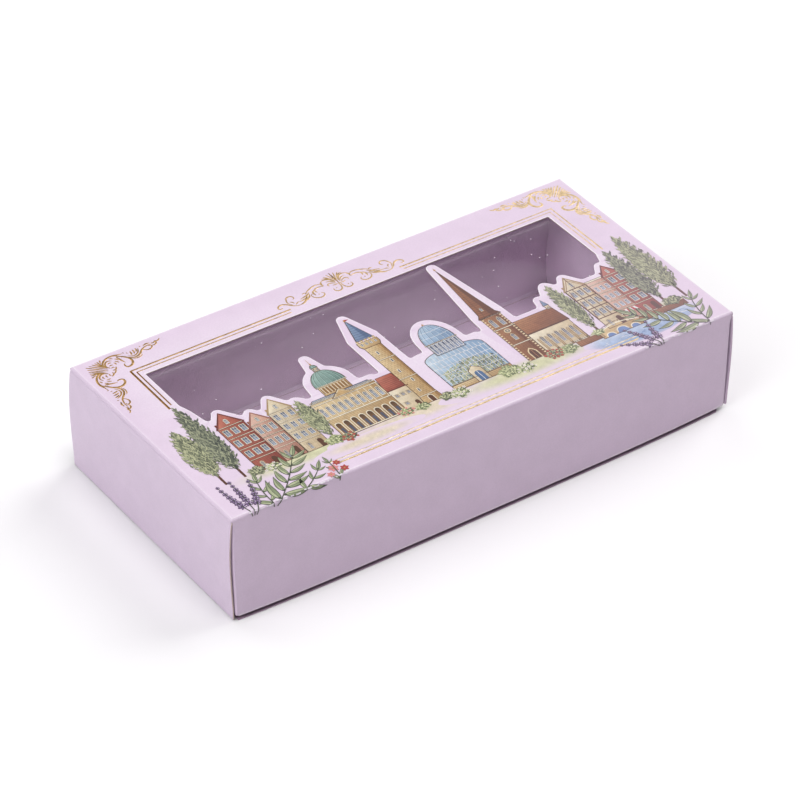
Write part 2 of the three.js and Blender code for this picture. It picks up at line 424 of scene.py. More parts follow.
class Tree(Maker):
    """A Geometry Nodes tree in the making, with named inputs and one for its material."""

    def __init__(self, name, inputs):
        self.group = bpy.data.node_groups.new(name, "GeometryNodeTree")
        face = self.group.interface
        face.new_socket("Geometry", in_out="INPUT", socket_type="NodeSocketGeometry")
        for label, kind in {**inputs, "Material": "Material"}.items():
            face.new_socket(label, in_out="INPUT", socket_type="NodeSocket" + kind)
        face.new_socket("Geometry", in_out="OUTPUT", socket_type="NodeSocketGeometry")
        self.start = self.group.nodes.new("NodeGroupInput").outputs
        self.end = self.group.nodes.new("NodeGroupOutput").inputs

    def random(self, low, high, step=0.0):
        """A random value by the seed and a step of its own."""
        seed = self.plus(self.start["Seed"], step)
        return self.add("FunctionNodeRandomValue", {2: low, 3: high, 8: seed}, data_type="FLOAT")[1]

    def turned(self, angle):
        """A rotation about Z by an angle in radians."""
        return self.add("FunctionNodeEulerToRotation", {0: self.vector(Z=angle)})[0]

    def stored(self, geometry, name, value):
        return self.add("GeometryNodeStoreNamedAttribute", {0: geometry, "Name": name, "Value": value},
                        data_type="FLOAT", domain="POINT")[0]

    def named(self, name):
        return self.add("GeometryNodeInputNamedAttribute", {0: name}, data_type="FLOAT")[0]

    def placed(self, points, shape, **more):
        """The object that an input gives, or some geometry, on each point."""
        if isinstance(shape, str):
            shape = self.add("GeometryNodeObjectInfo", {"Object": self.start[shape]})["Geometry"]
        return self.add("GeometryNodeInstanceOnPoints", {"Points": points, "Instance": shape, **more})[0]

    def finish(self, geometry):
        """Ends the tree in real geometry that has its material."""
        real = self.add("GeometryNodeRealizeInstances", {0: geometry})[0]
        done = self.add("GeometryNodeSetMaterial", {0: real, "Material": self.start["Material"]})[0]
        self.group.links.new(done, self.end["Geometry"])
        return self.group


def grown(name, base, tree, values):
    """Runs a tree on a base mesh and returns a plain mesh object. The base is removed."""
    piece = new_object(name, base)
    modifier = piece.modifiers.new(tree.name, "NODES")
    modifier.node_group = tree
    for socket in tree.interface.items_tree:
        if socket.in_out == "INPUT" and socket.name in values:
            modifier[socket.identifier] = values[socket.name]
    mesh = evaluated(piece)
    remove(piece)
    mesh.name = name
    return new_object(name, mesh)


def strokes_tree():
    """Lines swept along drawn paths, as wide at each point as its own width says."""
    tree = Tree("strokes_on_paths", {"Soft": "Bool", "Step": "Float", "Relief": "Float", "Sides": "Int"})
    start = tree.start
    drawn = tree.add("GeometryNodeMeshToCurve", {0: start["Geometry"]})[0]
    curved = tree.add("GeometryNodeCurveSplineType", {0: drawn}, spline_type="CATMULL_ROM")[0]
    even = tree.add("GeometryNodeResampleCurve", {0: curved, "Length": start["Step"]}, mode="LENGTH")[0]
    path = tree.add("GeometryNodeSwitch", {"Switch": start["Soft"], "False": drawn, "True": even},
                    input_type="GEOMETRY")[0]
    flat = tree.add("GeometryNodeSetCurveNormal", {0: path}, mode="Z_UP")[0]
    ring = tree.add("GeometryNodeCurvePrimitiveCircle", {"Resolution": start["Sides"], "Radius": 0.5})[0]
    squash = tree.vector(X=1.0, Y=start["Relief"], Z=1.0)
    section = tree.add("GeometryNodeTransform", {0: ring, "Scale": squash})[0]
    return tree.finish(tree.add(
        "GeometryNodeCurveToMesh",
        {"Curve": flat, "Profile Curve": section, "Scale": tree.named("width"), "Fill Caps": True},
    )[0])


def leaves_tree():
    """Leaves along one side of each stem, smaller towards its tip."""
    tree = Tree(
        "leaves_on_stems",
        {"Leaf": "Object", "Pitch": "Float", "Turn": "Float", "Size": "Float", "Taper": "Float",
         "Seed": "Int"},
    )
    start = tree.start
    stem = tree.add("GeometryNodeMeshToCurve", {0: start["Geometry"]})[0]
    marked = tree.stored(stem, "along", tree.add("GeometryNodeSplineParameter", {})["Factor"])
    points = tree.add("GeometryNodeCurveToPoints", {0: marked, "Length": start["Pitch"]}, mode="LENGTH")
    tapered = tree.math("SUBTRACT", 1.0, tree.times(tree.named("along"), start["Taper"]))
    size = tree.times(tree.times(tapered, tree.random(0.86, 1.12, 3.0)), start["Size"])
    heading = tree.add("FunctionNodeAlignRotationToVector", {"Vector": points["Tangent"]},
                       axis="X", pivot_axis="Z")[0]
    angle = tree.plus(start["Turn"], tree.random(-0.16, 0.16))
    turn = tree.add("FunctionNodeRotateRotation", {0: heading, 1: tree.turned(angle)},
                    rotation_space="LOCAL")[0]
    scale = tree.vector(X=size, Y=size, Z=1.0)
    return tree.finish(tree.placed(points[0], "Leaf", Rotation=turn, Scale=scale))


def dabs_tree():
    """Brush dabs scattered over areas, leaning about one heading, each with a tone of its own."""
    tree = Tree(
        "dabs_on_areas",
        {"Dab": "Object", "Spacing": "Float", "Heading": "Float", "Sway": "Float", "Height": "Float",
         "Seed": "Int"},
    )
    start = tree.start
    points = tree.add(
        "GeometryNodeDistributePointsOnFaces",
        {0: start["Geometry"], "Distance Min": start["Spacing"], "Density Max": 60.0, "Seed": start["Seed"]},
        distribute_method="POISSON",
    )[0]
    tone = tree.random(0.0, 1.0, 11.0)
    rise = tree.vector(Z=tree.times(tone, start["Height"]))
    lifted = tree.add("GeometryNodeSetPosition", {0: tree.stored(points, "tone", tone), "Offset": rise})[0]
    lean = tree.times(tree.random(-1.0, 1.0, 5.0), start["Sway"])
    turn = tree.turned(tree.plus(start["Heading"], lean))
    size = tree.random(0.7, 1.25, 2.0)
    scale = tree.vector(X=size, Y=size, Z=1.0)
    return tree.finish(tree.placed(lifted, "Dab", Rotation=turn, Scale=scale))


def rows_tree():
    """One small shape repeated in columns and rows from a corner."""
    tree = Tree(
        "shapes_in_rows",
        {"Shape": "Object", "Columns": "Int", "Rows": "Int", "Pitch X": "Float", "Pitch Y": "Float"},
    )

    def line(count, offset):
        inputs = {"Count": tree.start[count], "Offset": offset}
        return tree.add("GeometryNodeMeshLine", inputs, mode="OFFSET")[0]

    columns = line("Columns", tree.vector(X=tree.start["Pitch X"]))
    rows = line("Rows", tree.vector(Y=tree.start["Pitch Y"]))
    return tree.finish(tree.placed(rows, tree.placed(columns, "Shape")))


# Materials

class Finish(Maker):
    """A material in the making: a Principled shader with its patterns on Object coordinates."""

    def __init__(self, name):
        self.material = bpy.data.materials.new(name)
        self.material.use_nodes = True
        self.group = self.material.node_tree
        self.shader = self.group.nodes["Principled BSDF"]
        self.place = self.add("ShaderNodeTexCoord", {})["Object"]

    def along(self, axis):
        """The place along X, Y or Z (0, 1 or 2)."""
        return self.add("ShaderNodeSeparateXYZ", {0: self.place})[axis]

    def over(self, value, low, high, start, end):
        """A value that goes from low to high over a stretch in millimetres."""
        return self.ranged(value, low, high, start * MM, end * MM)

    def noise(self, size, detail=2, stretch=(1, 1, 1)):
        """Noise whose features are about size millimetres across."""
        scaled = self.add("ShaderNodeMapping", {"Vector": self.place, "Scale": stretch})[0]
        inputs = {"Vector": scaled, "Scale": 1 / (size * MM), "Detail": detail}
        return self.add("ShaderNodeTexNoise", inputs)[0]

    def ranged(self, value, low, high, start=0.3, end=0.7):
        """A value that goes from low to high as another goes from start to end."""
        return self.add("ShaderNodeMapRange", {0: value, 1: start, 2: end, 3: low, 4: high})[0]

    def mottled(self, size, detail, low, high):
        """Soft patches between two values."""
        return self.ranged(self.noise(size, detail), low, high)

    def mix(self, factor, a, b, blend="MIX"):
        return self.add("ShaderNodeMix", {0: factor, 6: a, 7: b}, data_type="RGBA", blend_type=blend)[2]

    def shaded(self, colour, shade):
        return self.mix(1.0, colour, shade, "MULTIPLY")

    def attribute(self, name):
        return self.add("ShaderNodeAttribute", {}, attribute_name=name)

    def bump(self, height, distance, strength=1.0, under=None):
        inputs = {"Height": height, "Distance": distance * MM, "Strength": strength}
        if under is not None:
            inputs["Normal"] = under
        return self.add("ShaderNodeBump", inputs)[0]

    def join(self, **sockets):
        """Links or sets the shader's own sockets, named with underscores for spaces."""
        for name, value in sockets.items():
            socket = self.shader.inputs[name.replace("_", " ")]
            if isinstance(value, bpy.types.NodeSocket):
                self.group.links.new(value, socket)
            else:
                socket.default_value = value
        return self.material

    def coated(self, colour):
        """The material of coated paper in a colour, with a board's long waves and the paper's fine tooth."""
        waves = self.bump(self.noise(26, 1), 0.05)
        return self.join(
            Base_Color=colour,
            Roughness=self.mottled(5, 3, 0.5, 0.6),
            Normal=self.bump(self.noise(0.45, 3), 0.006, 0.5, waves),
            Specular_IOR_Level=0.4,
        )


def printed_card(name, colour, worn_and_highlit, painted_light_or_shade, axis, start, end):
    """Coated board printed in one colour: faint mottle in the ink, and another colour where its folds are
    worn, with a painted highlight along them. Between two places in millimetres along an axis it turns into a
    third, which is painted shade on the lid's front panel and painted light at the tray's right end."""
    finish = Finish(name)
    mottle, speck = finish.mottled(9, 3, 0.972, 1.02), finish.mottled(0.7, 2, 0.974, 1.024)
    past = finish.over(finish.along(axis), 0.0, 1.0, start, end)
    even = finish.shaded(finish.mix(past, colour, painted_light_or_shade), finish.times(mottle, speck))
    # pale where folds are worn, with a painted highlight along the creases
    patchy = finish.ranged(finish.noise(0.8, 4), 0.25, 1.0, 0.35, 0.65)
    wear_and_highlight = finish.times(finish.attribute("fold")["Fac"], patchy)
    return finish.coated(finish.mix(wear_and_highlight, even, worn_and_highlit))


def cut_board(name):
    """The cut edge of the board, where its layers of grey and cream pulp show. At the right end it turns
    lilac."""
    finish = Finish(name)
    layers = finish.ranged(finish.noise(0.5, 3, (1, 1, 3)), 0, 1)
    lilac_share = finish.over(finish.along(0), 0.0, 0.85, *LILAC_EDGE_END)
    pulp = finish.mix(lilac_share, finish.mix(layers, BOARD_CORE, BOARD_GREY), BOARD_LILAC_END)
    return finish.join(
        Base_Color=finish.shaded(pulp, finish.mottled(0.12, 2, 0.85, 1.08)),
        Roughness=0.9,
        Normal=finish.bump(finish.noise(0.15, 3), 0.03),
    )


def clear_film(name):
    """Clear film: see-through but for what it mirrors, with a faint haze in patches that partly paints the
    light inside and is weaker about one place as painted shade, a broad soft painted sheen with a rounded
    end, a pale rim and bead of painted light and a dark seam of painted shadow along the window's back edge."""
    finish = Finish(name)
    clear = finish.add("ShaderNodeBsdfTransparent", {"Color": FILM_TINT})[0]
    haze_and_light = finish.add("ShaderNodeBsdfDiffuse", {"Color": FILM_HAZE_AND_LIGHT})[0]
    shadow_layer = finish.add("ShaderNodeBsdfDiffuse", {"Color": FILM_SHADOW})[0]
    waves = finish.bump(finish.noise(30, 2), 0.4)
    gloss = finish.add("ShaderNodeBsdfGlossy", {"Color": (1, 1, 1, 1), "Roughness": 0.06, "Normal": waves})[0]
    outside = finish.ranged(finish.add("ShaderNodeNewGeometry", {})["Backfacing"], 1.0, 0.0, 0.0, 1.0)
    mirrored = finish.times(finish.add("ShaderNodeFresnel", {"IOR": 1.52})[0], outside)
    along, back = finish.along(0), finish.along(1)

    def away(value, middle):
        return finish.math("ABSOLUTE", finish.math("SUBTRACT", value, middle * MM))

    # haze in patches, partly painted light, weaker about one place as painted shade
    haze_falloff = finish.over(away(along, LEAST_HAZE_X), 0.2, 1.0, *LEAST_HAZE_REACH)
    haze_patches = finish.times(finish.mottled(18, 4, *FILM_HAZE), haze_falloff)
    # painted light along the back edge, a pale rim and a pale bead, and a dark seam of painted shadow past
    # them
    rim = finish.over(back, 0.0, LIT_RIM, *(WINDOW_BACK - inside for inside in LIT_RIM_INSIDE))
    highlight_bead = finish.over(away(back, WINDOW_BACK - HIGHLIGHT_BEAD_INSIDE), HIGHLIGHT_BEAD, 0.0, *HIGHLIGHT_BEAD_REACH)
    shadow_seam = finish.over(back, 0.0, SHADOW_SEAM, *(WINDOW_BACK - inside for inside in SHADOW_SEAM_INSIDE))
    # the painted sheen, a quarter of an ellipse with straight sides past its middle
    scale = (1 / (SHEEN_LONG * MM), 1 / (SHEEN_WIDE * MM), 0)
    placed = finish.add("ShaderNodeVectorMath",
                        {0: finish.place, 1: scale, 2: (-SHEEN_MIDDLE / SHEEN_LONG, 0, 0)},
                        operation="MULTIPLY_ADD")[0]
    corner = finish.add("ShaderNodeVectorMath", {0: placed, 1: (0, 0, 0)}, operation="MAXIMUM")[0]
    reach = finish.add("ShaderNodeVectorMath", {0: corner}, operation="LENGTH")[1]
    strength = finish.times(finish.over(along, 0.004, SHEEN, -90, -5), finish.over(back, 0.0, 1.0, -8, 8))
    sheen = finish.times(finish.ranged(reach, 1.0, 0.0, 0.9, 1.07), strength)
    haze_and_painted_light = finish.times(finish.plus(finish.plus(haze_patches, sheen), finish.plus(rim, highlight_bead)), outside)
    film = clear
    for share, layer in ((haze_and_painted_light, haze_and_light), (shadow_seam, shadow_layer), (mirrored, gloss)):
        film = finish.add("ShaderNodeMixShader", {0: share, 1: film, 2: layer})[0]
    finish.group.links.new(film, finish.group.nodes["Material Output"].inputs["Surface"])
    finish.group.nodes.remove(finish.shader)
    return finish.material


def watercolour_ink(name):
    """Printed watercolour: each point's own ink, granulated and pooled, over the lilac of the card. The
    print is painted paler towards the right: painted light."""
    finish = Finish(name)
    ink = finish.attribute("ink")
    cover = finish.times(ink["Alpha"], finish.over(finish.along(0), 1.0, 0.82, 0, HALF_LENGTH))
    pool, grain = finish.mottled(2.6, 4, 0.84, 1.08), finish.mottled(0.4, 3, 0.9, 1.06)
    painted = finish.shaded(ink["Color"], finish.times(pool, grain))
    return finish.coated(finish.mix(cover, LILAC, painted))


def matt(name, colour, size, detail, low, roughness):
    """A dull surface in one colour with soft darker patches: dust, or the floor."""
    finish = Finish(name)
    patches = finish.mottled(size, detail, low, 1.0)
    return finish.join(Base_Color=finish.shaded(colour, patches), Roughness=roughness)


def gold_foil(name):
    """Hot-stamped foil, a little brushed and not quite flat. Towards the right it is painted paler and
    duller: painted light.
    """
    finish = Finish(name)
    pale = finish.over(finish.along(0), 0.0, 1.0, -HALF_LENGTH, HALF_LENGTH)
    foil = finish.mix(pale, finish.attribute("ink")["Color"], GOLD_LIT)
    return finish.join(
        Base_Color=finish.shaded(foil, finish.mottled(1.6, 3, 0.68, 1.2)),
        Metallic=finish.ranged(pale, 1.0, 0.3, 0.05, 1.0),
        Roughness=finish.mottled(1.2, 3, 0.32, 0.5),
        Normal=finish.bump(finish.noise(0.6, 2), 0.03),
    )


# Folded card

def sheet_of_card(name, patches, flat_areas, materials, board=BOARD):
    """A folded sheet of board. Patches are rows of (fold wear and painted highlight, points), and flat areas
    are (outline, hole, height)."""
    sheet = bmesh.new()
    # how pale the ink is at each point: fold wear and painted highlight
    fold = sheet.verts.layers.float.new("fold")

    def vertex(point, wear_and_highlight=0.0):
        made = sheet.verts.new(Vector(point) * MM)
        made[fold] = wear_and_highlight
        return made

    for rows in patches:
        woven(sheet, [[vertex(point, wear_and_highlight) for point in points] for wear_and_highlight, points in rows])
    for outline, hole, height in flat_areas:
        points, triangles = filled(outline, hole)
        made = [vertex((x, y, height)) for x, y in points]
        for corners in triangles:
            sheet.faces.new([made[i] for i in corners])
    bmesh.ops.remove_doubles(sheet, verts=sheet.verts, dist=0.004 * MM)
    bmesh.ops.dissolve_degenerate(sheet, edges=sheet.edges, dist=0.001 * MM)
    bmesh.ops.recalc_face_normals(sheet, faces=sheet.faces)
    piece = sheet_object(sheet, name, *materials)
    thick = piece.modifiers.new("board", "SOLIDIFY")
    thick.thickness = board * MM
    thick.offset = -1
    thick.use_even_offset = True
    thick.material_offset_rim = 1
    edge = piece.modifiers.new("soft_edges", "BEVEL")
    edge.width = SOFT_EDGE * MM
    edge.segments = 2
    edge.angle_limit = math.radians(50)
    applied(piece)
    return shaded(piece)


def between(low, high, count):
    return [low + (high - low) * i / count for i in range(count + 1)]


def crease_rows(ways, pale):
    """Rows from the roof over a crease to the top of a wall, with the ink there as pale as given: wear and a
    painted highlight along the crease. The ways are each point's place along X and Y, as shares of the half
    length and half width."""
    profile = [(margin + CREASE, 0, wear_and_highlight) for margin, wear_and_highlight in ((ROOF_MARGIN, 0), (0.9, 0), (0.3, 0.2))]
    for turn, wear_and_highlight in ((0, 1.2), (11, 1.0), (19, 0.3), (71, 0.1), (79, 0.1), (90, 0.0)):
        turn = math.radians(turn)
        profile.append((CREASE * (1 - math.sin(turn)), CREASE * (1 - math.cos(turn)), wear_and_highlight))
    rows = []
    for inset, drop, wear_and_highlight in profile:
        x, y = HALF_LENGTH - inset, HALF_WIDTH - inset
        rows.append((wear_and_highlight * pale, [(along * x, out * y, HEIGHT - drop) for along, out in ways]))
    return rows


def end_bow(z, side):
    """How far an end wall of the lid springs out at a height."""
    return END_SPRING[side] * math.sin(math.pi * min(1, max(0, z / HEIGHT)) ** END_BOW_SHAPE)


def belly(x, z):
    """How far the front and back panels stand out. They turn in again a little at the foot."""
    curl = FOOT_CURL * max(0, 1 - z / FOOT_CURL_HEIGHT) ** 2
    share = x / HALF_LENGTH
    out = FRONT_LEAN - FRONT_TWIST * share + FRONT_SPRING * (1 - share ** 4)
    return out * (1 - z / HEIGHT) - curl


def groove(z, depth=FRONT_GROOVE):
    """The pressed line just under a crease."""
    return depth * math.exp(-((HEIGHT - CREASE - PRESSED_DROP - z) / PRESSED_WIDTH) ** 2)


def wall_heights(low):
    """Heights down a wall of the lid, close together under the crease, each with its fold wear and painted
    highlight.
    """
    top = HEIGHT - CREASE
    for drop, wear_and_highlight in ((0, 0.1), (0.3, 0.05), (0.6, 0.0), (0.9, 0.0), (1.3, 0.0), (1.9, 0.0)):
        yield top - drop, wear_and_highlight
    for z in between(top - 3, low, 18):
        yield z, 0.0


def end_wall(side):
    """An end wall of the lid: crease, outer ply, the turn at its foot and the inner ply."""
    steps = between(-1, 1, 30)
    rows = crease_rows([(side, s) for s in steps], 0.4)
    foot = END_FOOT[side]

    def upright_row(x, z, wear_and_highlight, back=0.0):
        rows.append((wear_and_highlight, [(side * x, s * (HALF_WIDTH - back), z) for s in steps]))

    for z, wear_and_highlight in wall_heights(foot + FOOT_TURN):
        upright_row(HALF_LENGTH + end_bow(z, side) - groove(z, END_GROOVE), z, wear_and_highlight)
    low = HALF_LENGTH + end_bow(foot, side)
    # the turn at the foot, painted pale: wear and painted highlight
    for turn in (22, 45, 67, 90, 112, 135, 158):
        back = INNER_PLY_BACK * smooth((turn - 60) / 110)
        turn = math.radians(turn)
        x = low - FOOT_TURN * (1 - math.cos(turn))
        upright_row(x, foot + FOOT_TURN * (1 - math.sin(turn)), 0.4, back)
    for z in between(foot + FOOT_TURN, INNER_PLY_TOP, 16):
        upright_row(HALF_LENGTH - WALL + end_bow(z, side), z, 0.0, INNER_PLY_BACK)
    return rows


def panel_end(z, side):
    """Half length of the front panel at a height: it parts from the end wall below the crease."""
    drop = HEIGHT - CREASE - z
    free = HALF_LENGTH - BOARD - PANEL_SLOT[side] + PANEL_FOLLOW[side] * end_bow(z, side)
    joined = HALF_LENGTH - BOARD * smooth(drop / PRESSED_DROP)
    return joined - (joined - free) * smooth((drop - PRESSED_DROP) / 3.5)


def panel_fold(z):
    """Radius of the fold at the panel's end."""
    return SHARP_FOLD + (PANEL_FOLD - SHARP_FOLD) * smooth((HEIGHT - CREASE - 1.2 - z) / 3)


def long_panel(side):
    """The front or back panel of the lid, with its rounded lower corners."""
    steps = between(-1, 1, 56)
    rows = crease_rows([(s, side) for s in steps], 1)

    def upright_row(inset, z, wear_and_highlight):
        across = [s * (panel_end(z, math.copysign(1, s)) - inset) for s in steps]
        rows.append((wear_and_highlight, [(x, side * (HALF_WIDTH + belly(x, z) - groove(z)), z) for x in across]))

    for z, wear_and_highlight in wall_heights(PANEL_FOOT + PANEL_CORNER + 0.7):
        upright_row(panel_fold(z) if z < HEIGHT - CREASE - 0.2 else 0, z, wear_and_highlight)
    # the panel's rounded foot, painted pale: wear and painted highlight
    upright_row(PANEL_FOLD, PANEL_FOOT + PANEL_CORNER + 0.2, 0.7)
    for degrees in between(15, 90, 5):
        turn = math.radians(degrees)
        upright_row(PANEL_FOLD + PANEL_CORNER * (1 - math.cos(turn)),
                    PANEL_FOOT + PANEL_CORNER * (1 - math.sin(turn)), 0.9)
    return rows


def corner_tab(side, front):
    """The tab at the end of a long panel, folded in behind the end wall."""
    rows = []
    for z, _ in wall_heights(PANEL_FOOT + PANEL_CORNER):
        if z > HEIGHT - CREASE - 1.0:
            continue
        fold = panel_fold(z)
        half = panel_end(z, side) - fold
        face = HALF_WIDTH + belly(side * half, z) - groove(z)
        points = []
        for turn in between(0, 90, 5):
            turn = math.radians(turn)
            points.append((side * (half + fold * math.sin(turn)),
                           front * (face - fold * (1 - math.cos(turn))), z))
        inside = min(half + fold, HALF_LENGTH - WALL + end_bow(z, side) - PANEL_SLOT[side])
        for run in (INNER_PLY_BACK, 9, TAB_LENGTH):
            narrower = (z - HEIGHT / 2) * (1 - TAB_TAPER * run / TAB_LENGTH) + HEIGHT / 2
            points.append((side * inside, front * (face - fold - run), narrower))
        rows.append((0.0, points))
    return rows


def motif_outline(shape, x, half, eaves, tip):
    """Upper outline of one motif, from its left foot to its right foot."""
    foot = GROUND_LINE
    if shape in ("block", "spire"):
        ridge = [(x, tip)] if shape == "spire" else []
        return [(x - half, foot), (x - half, eaves), *ridge, (x + half, eaves), (x + half, foot)]
    arc = []
    for turn in between(math.pi, 0, 16):
        narrow = abs(math.cos(turn)) ** (1.5 if shape == "tree" else 1)
        arc.append((x + half * math.copysign(narrow, math.cos(turn)), eaves + (tip - eaves) * math.sin(turn)))
    return [(x - half, foot), *arc, (x + half, foot)]


def densified(points, spacing):
    dense = []
    for a, b in zip(points, points[1:]):
        count = max(1, math.ceil(math.dist(a, b) / spacing))
        dense += [mixed(a, b, k / count) for k in range(count)]
    return dense + [points[-1]]


def thinned(points, tolerance):
    """The polyline without the points that lie within a tolerance of the line past them."""
    (ax, ay), (bx, by) = points[0], points[-1]
    length = math.dist(points[0], points[-1])
    away = [abs((bx - ax) * (y - ay) - (by - ay) * (x - ax)) / length for x, y in points]
    far = max(away)
    if far <= tolerance:
        return [points[0], points[-1]]
    at = away.index(far)
    return thinned(points[:at + 1], tolerance)[:-1] + thinned(points[at:], tolerance)


def reached(curve, across, radius, side):
    """The curve that a disc reaches when its middle runs along another one, above or below it."""
    pick = max if side > 0 else min
    heights = []
    for x in across:
        near = [(px, py) for px, py in curve if abs(px - x) < radius]
        heights.append((x, pick(py + side * math.sqrt(radius ** 2 - (px - x) ** 2) for px, py in near)))
    return heights


def window_outline():
    """The die-cut window: straight at the back and sides, its lower edge a margin off the motifs."""
    outline = [p for motif in MOTIFS.values() for p in densified(motif_outline(*motif), OUTLINE_STEP)]
    count = round((WINDOW_RIGHT - WINDOW_LEFT) / OUTLINE_STEP)
    step = (WINDOW_RIGHT - WINDOW_LEFT) / count
    spare = math.ceil(HOLLOW_RADIUS / OUTLINE_STEP)
    across = [WINDOW_LEFT + step * i for i in range(-spare, count + spare + 1)]
    far = reached(outline, across, MOTIF_MARGIN + HOLLOW_RADIUS, 1)
    sill = thinned(reached(far, across[spare:-spare], HOLLOW_RADIUS, -1), OUTLINE_TOLERANCE)
    return sill + [(WINDOW_RIGHT, WINDOW_BACK), (WINDOW_LEFT, WINDOW_BACK)]


def grown_outline(outline, reach):
    """A closed outline moved outwards, each point along the mean of its two sides' normals."""
    grown = []
    for i, (x, y) in enumerate(outline):
        (ax, ay), (bx, by) = outline[i - 1], outline[(i + 1) % len(outline)]
        before = Vector((y - ay, ax - x)).normalized()
        after = Vector((by - y, x - bx)).normalized()
        middle = (before + after).normalized()
        out = middle * reach / max(0.4, middle.dot(after))
        grown.append((x + out.x, y + out.y))
    return grown


def window_lip():
    """The edge of the window, where the knife rolled the board down and its pale core shows. Its top is
    painted pale there: wear and a painted highlight along the cut.
    """
    cut = window_outline()
    rows = []
    for reach, drop, wear_and_highlight in ((LIP_WIDTH, 0, 0.6), (0.7 * LIP_WIDTH, 0.01, 2.0), (0, LIP_DROP, 2.0)):
        ring = grown_outline(cut, reach) if reach else cut
        rows.append((wear_and_highlight, [(x, y, HEIGHT - drop) for x, y in closed(ring)]))
    return rows


def edged(x, y, along, across):
    """A rectangle's outline, its long and short sides in equal parts."""
    front = [(s * x, -y) for s in between(-1, 1, along)[:-1]]
    right = [(x, s * y) for s in between(-1, 1, across)[:-1]]
    return front + right + [(-px, -py) for px, py in front + right]


def roof_area():
    """The roof inside its creases, and the window with its lip in it."""
    inset = ROOF_MARGIN + CREASE
    outline = edged(HALF_LENGTH - inset, HALF_WIDTH - inset, 56, 30)
    return outline, grown_outline(window_outline(), LIP_WIDTH), HEIGHT


def make_lid(card, cut):
    patches = []
    for side in (-1, 1):
        patches.append(end_wall(side))
        patches.append(long_panel(side))
        patches += [corner_tab(side, front) for front in (-1, 1)]
    patches.append(window_lip())
    return sheet_of_card("lid_card", patches, [roof_area()], [card, cut])


def tray_spring(share, z):
    """How far the tray's long walls stand out at a share of their length."""
    return TRAY_SPRING * (1 - share ** 2) * z / TRAY_TOP


def ply_bow(z):
    """How far the inner ply of an end wall bulges into the tray."""
    return PLY_BOW * math.exp(-((z - PLY_BOW_HEIGHT) / PLY_BOW_REACH) ** 2) * smooth(z / 8)


def tray_wall(half_along, half_out, spring, put, bow):
    """One wall of the tray, rolled over at its top. The rule put lays (along, out, z) on its side."""
    steps = between(-1, 1, 40)
    top = TRAY_TOP - FOOT_TURN
    rows = []

    def row(inset, z, short=0.0, wear_and_highlight=0.0):
        out = half_out - inset
        rows.append((wear_and_highlight, [put(s * (half_along - short), out + spring(s, z), z) for s in steps]))

    for turn in between(0, 90, 4):
        turn = math.radians(turn)
        inset = TRAY_CREASE * (1 - math.sin(turn))
        row(inset, TRAY_CREASE * (1 - math.cos(turn)), inset)
    for z in between(TRAY_CREASE, top, 8)[1:]:
        row(0, z)
    # the roll-over at the top, painted pale: wear and painted highlight
    for turn in between(0, 180, 8)[1:]:
        turn = math.radians(turn)
        row(FOOT_TURN * (1 - math.cos(turn)), top + FOOT_TURN * math.sin(turn),
            WALL * turn / math.pi, 0.6)
    for z in between(top, 1.4, 22)[1:]:
        row(WALL + bow(z), z, WALL, 0.0)
    # the foot of the inner ply, painted pale: wear and painted highlight
    row(WALL + 0.15, 0.95, WALL + 0.2, 0.4)
    row(WALL + 0.55, PLY_FOOT, WALL + 0.6, 0.4)
    row(WALL + PLY_FLANGE, PLY_FOOT, WALL + PLY_FLANGE, 0.0)
    return rows


def make_tray(card, cut):
    length, width = TRAY_HALF_LENGTH, TRAY_HALF_WIDTH
    patches = []
    for k in (-1, 1):
        patches.append(tray_wall(length, width, tray_spring, lambda a, o, z: (a, k * o, z), lambda z: 0.0))
        patches.append(tray_wall(width, length, lambda s, z: 0.0, lambda a, o, z: (k * o, a, z), ply_bow))
    floor = edged(length - TRAY_CREASE, width - TRAY_CREASE, 40, 40)
    return sheet_of_card("tray_card", patches, [(floor, None, 0)], [card, cut])


def make_base_card(card):
    """The thin card round the tray's foot. It fills the lid and shows under the front panel, where its dark
    colour is painted shade.
    """
    end = HALF_LENGTH - WALL - BASE_CARD_END_GAP
    across = [s * end for s in between(-1, BASE_CARD_RIGHT_SHARE, 56)]
    back = [(x, HALF_WIDTH + belly(x, PANEL_FOOT) - BASE_CARD_SIDE_GAP) for x in across]
    back.append((end, HALF_WIDTH - BASE_CARD_CORNER))
    outline = [(x, -y) for x, y in back] + back[::-1]
    x, y = TRAY_HALF_LENGTH - BASE_CARD_OVERLAP, TRAY_HALF_WIDTH - BASE_CARD_OVERLAP
    hole = oblong(-x, -y, x, y)
    return sheet_of_card("base_card", [], [(outline, hole, BASE_CARD)], [card, card], BASE_CARD)


def make_film(material):
    """The clear sheet glued under the roof: thin, and not quite flat."""
    middle = (film_low.z + film_high.z) / 2
    sheet = bmesh.new()

    def vertex(x, y):
        wave = FILM_WAVE * math.sin(x / 19 + 0.6) * math.cos(y / 15 + x / 60)
        return sheet.verts.new(Vector((x, y, middle + wave)) * MM)

    woven(sheet, [[vertex(x, y) for x in between(film_low.x, film_high.x, 60)]
                  for y in between(film_low.y, film_high.y, 24)])
    piece = sheet_object(sheet, "window_sheet", material)
    thick = piece.modifiers.new("film", "SOLIDIFY")
    thick.thickness = FILM_THICKNESS * MM
    thick.offset = 0
    applied(piece)
    return shaded(piece)


# Flat drawing

def laid(x, y, rise):
    """Where a point of the flat drawing lies: on the roof, or past it over the front crease."""
    run = CREASE - HALF_WIDTH - y
    arc = CREASE * math.pi / 2
    if run <= 0:
        return x, y, HEIGHT + rise
    if run < arc:
        turn = run / CREASE
        reach = CREASE + rise
        return x, CREASE - HALF_WIDTH - reach * math.sin(turn), HEIGHT - CREASE + reach * math.cos(turn)
    z = HEIGHT - CREASE - (run - arc)
    return x, -(HALF_WIDTH + belly(x, z) - groove(z) + rise), z


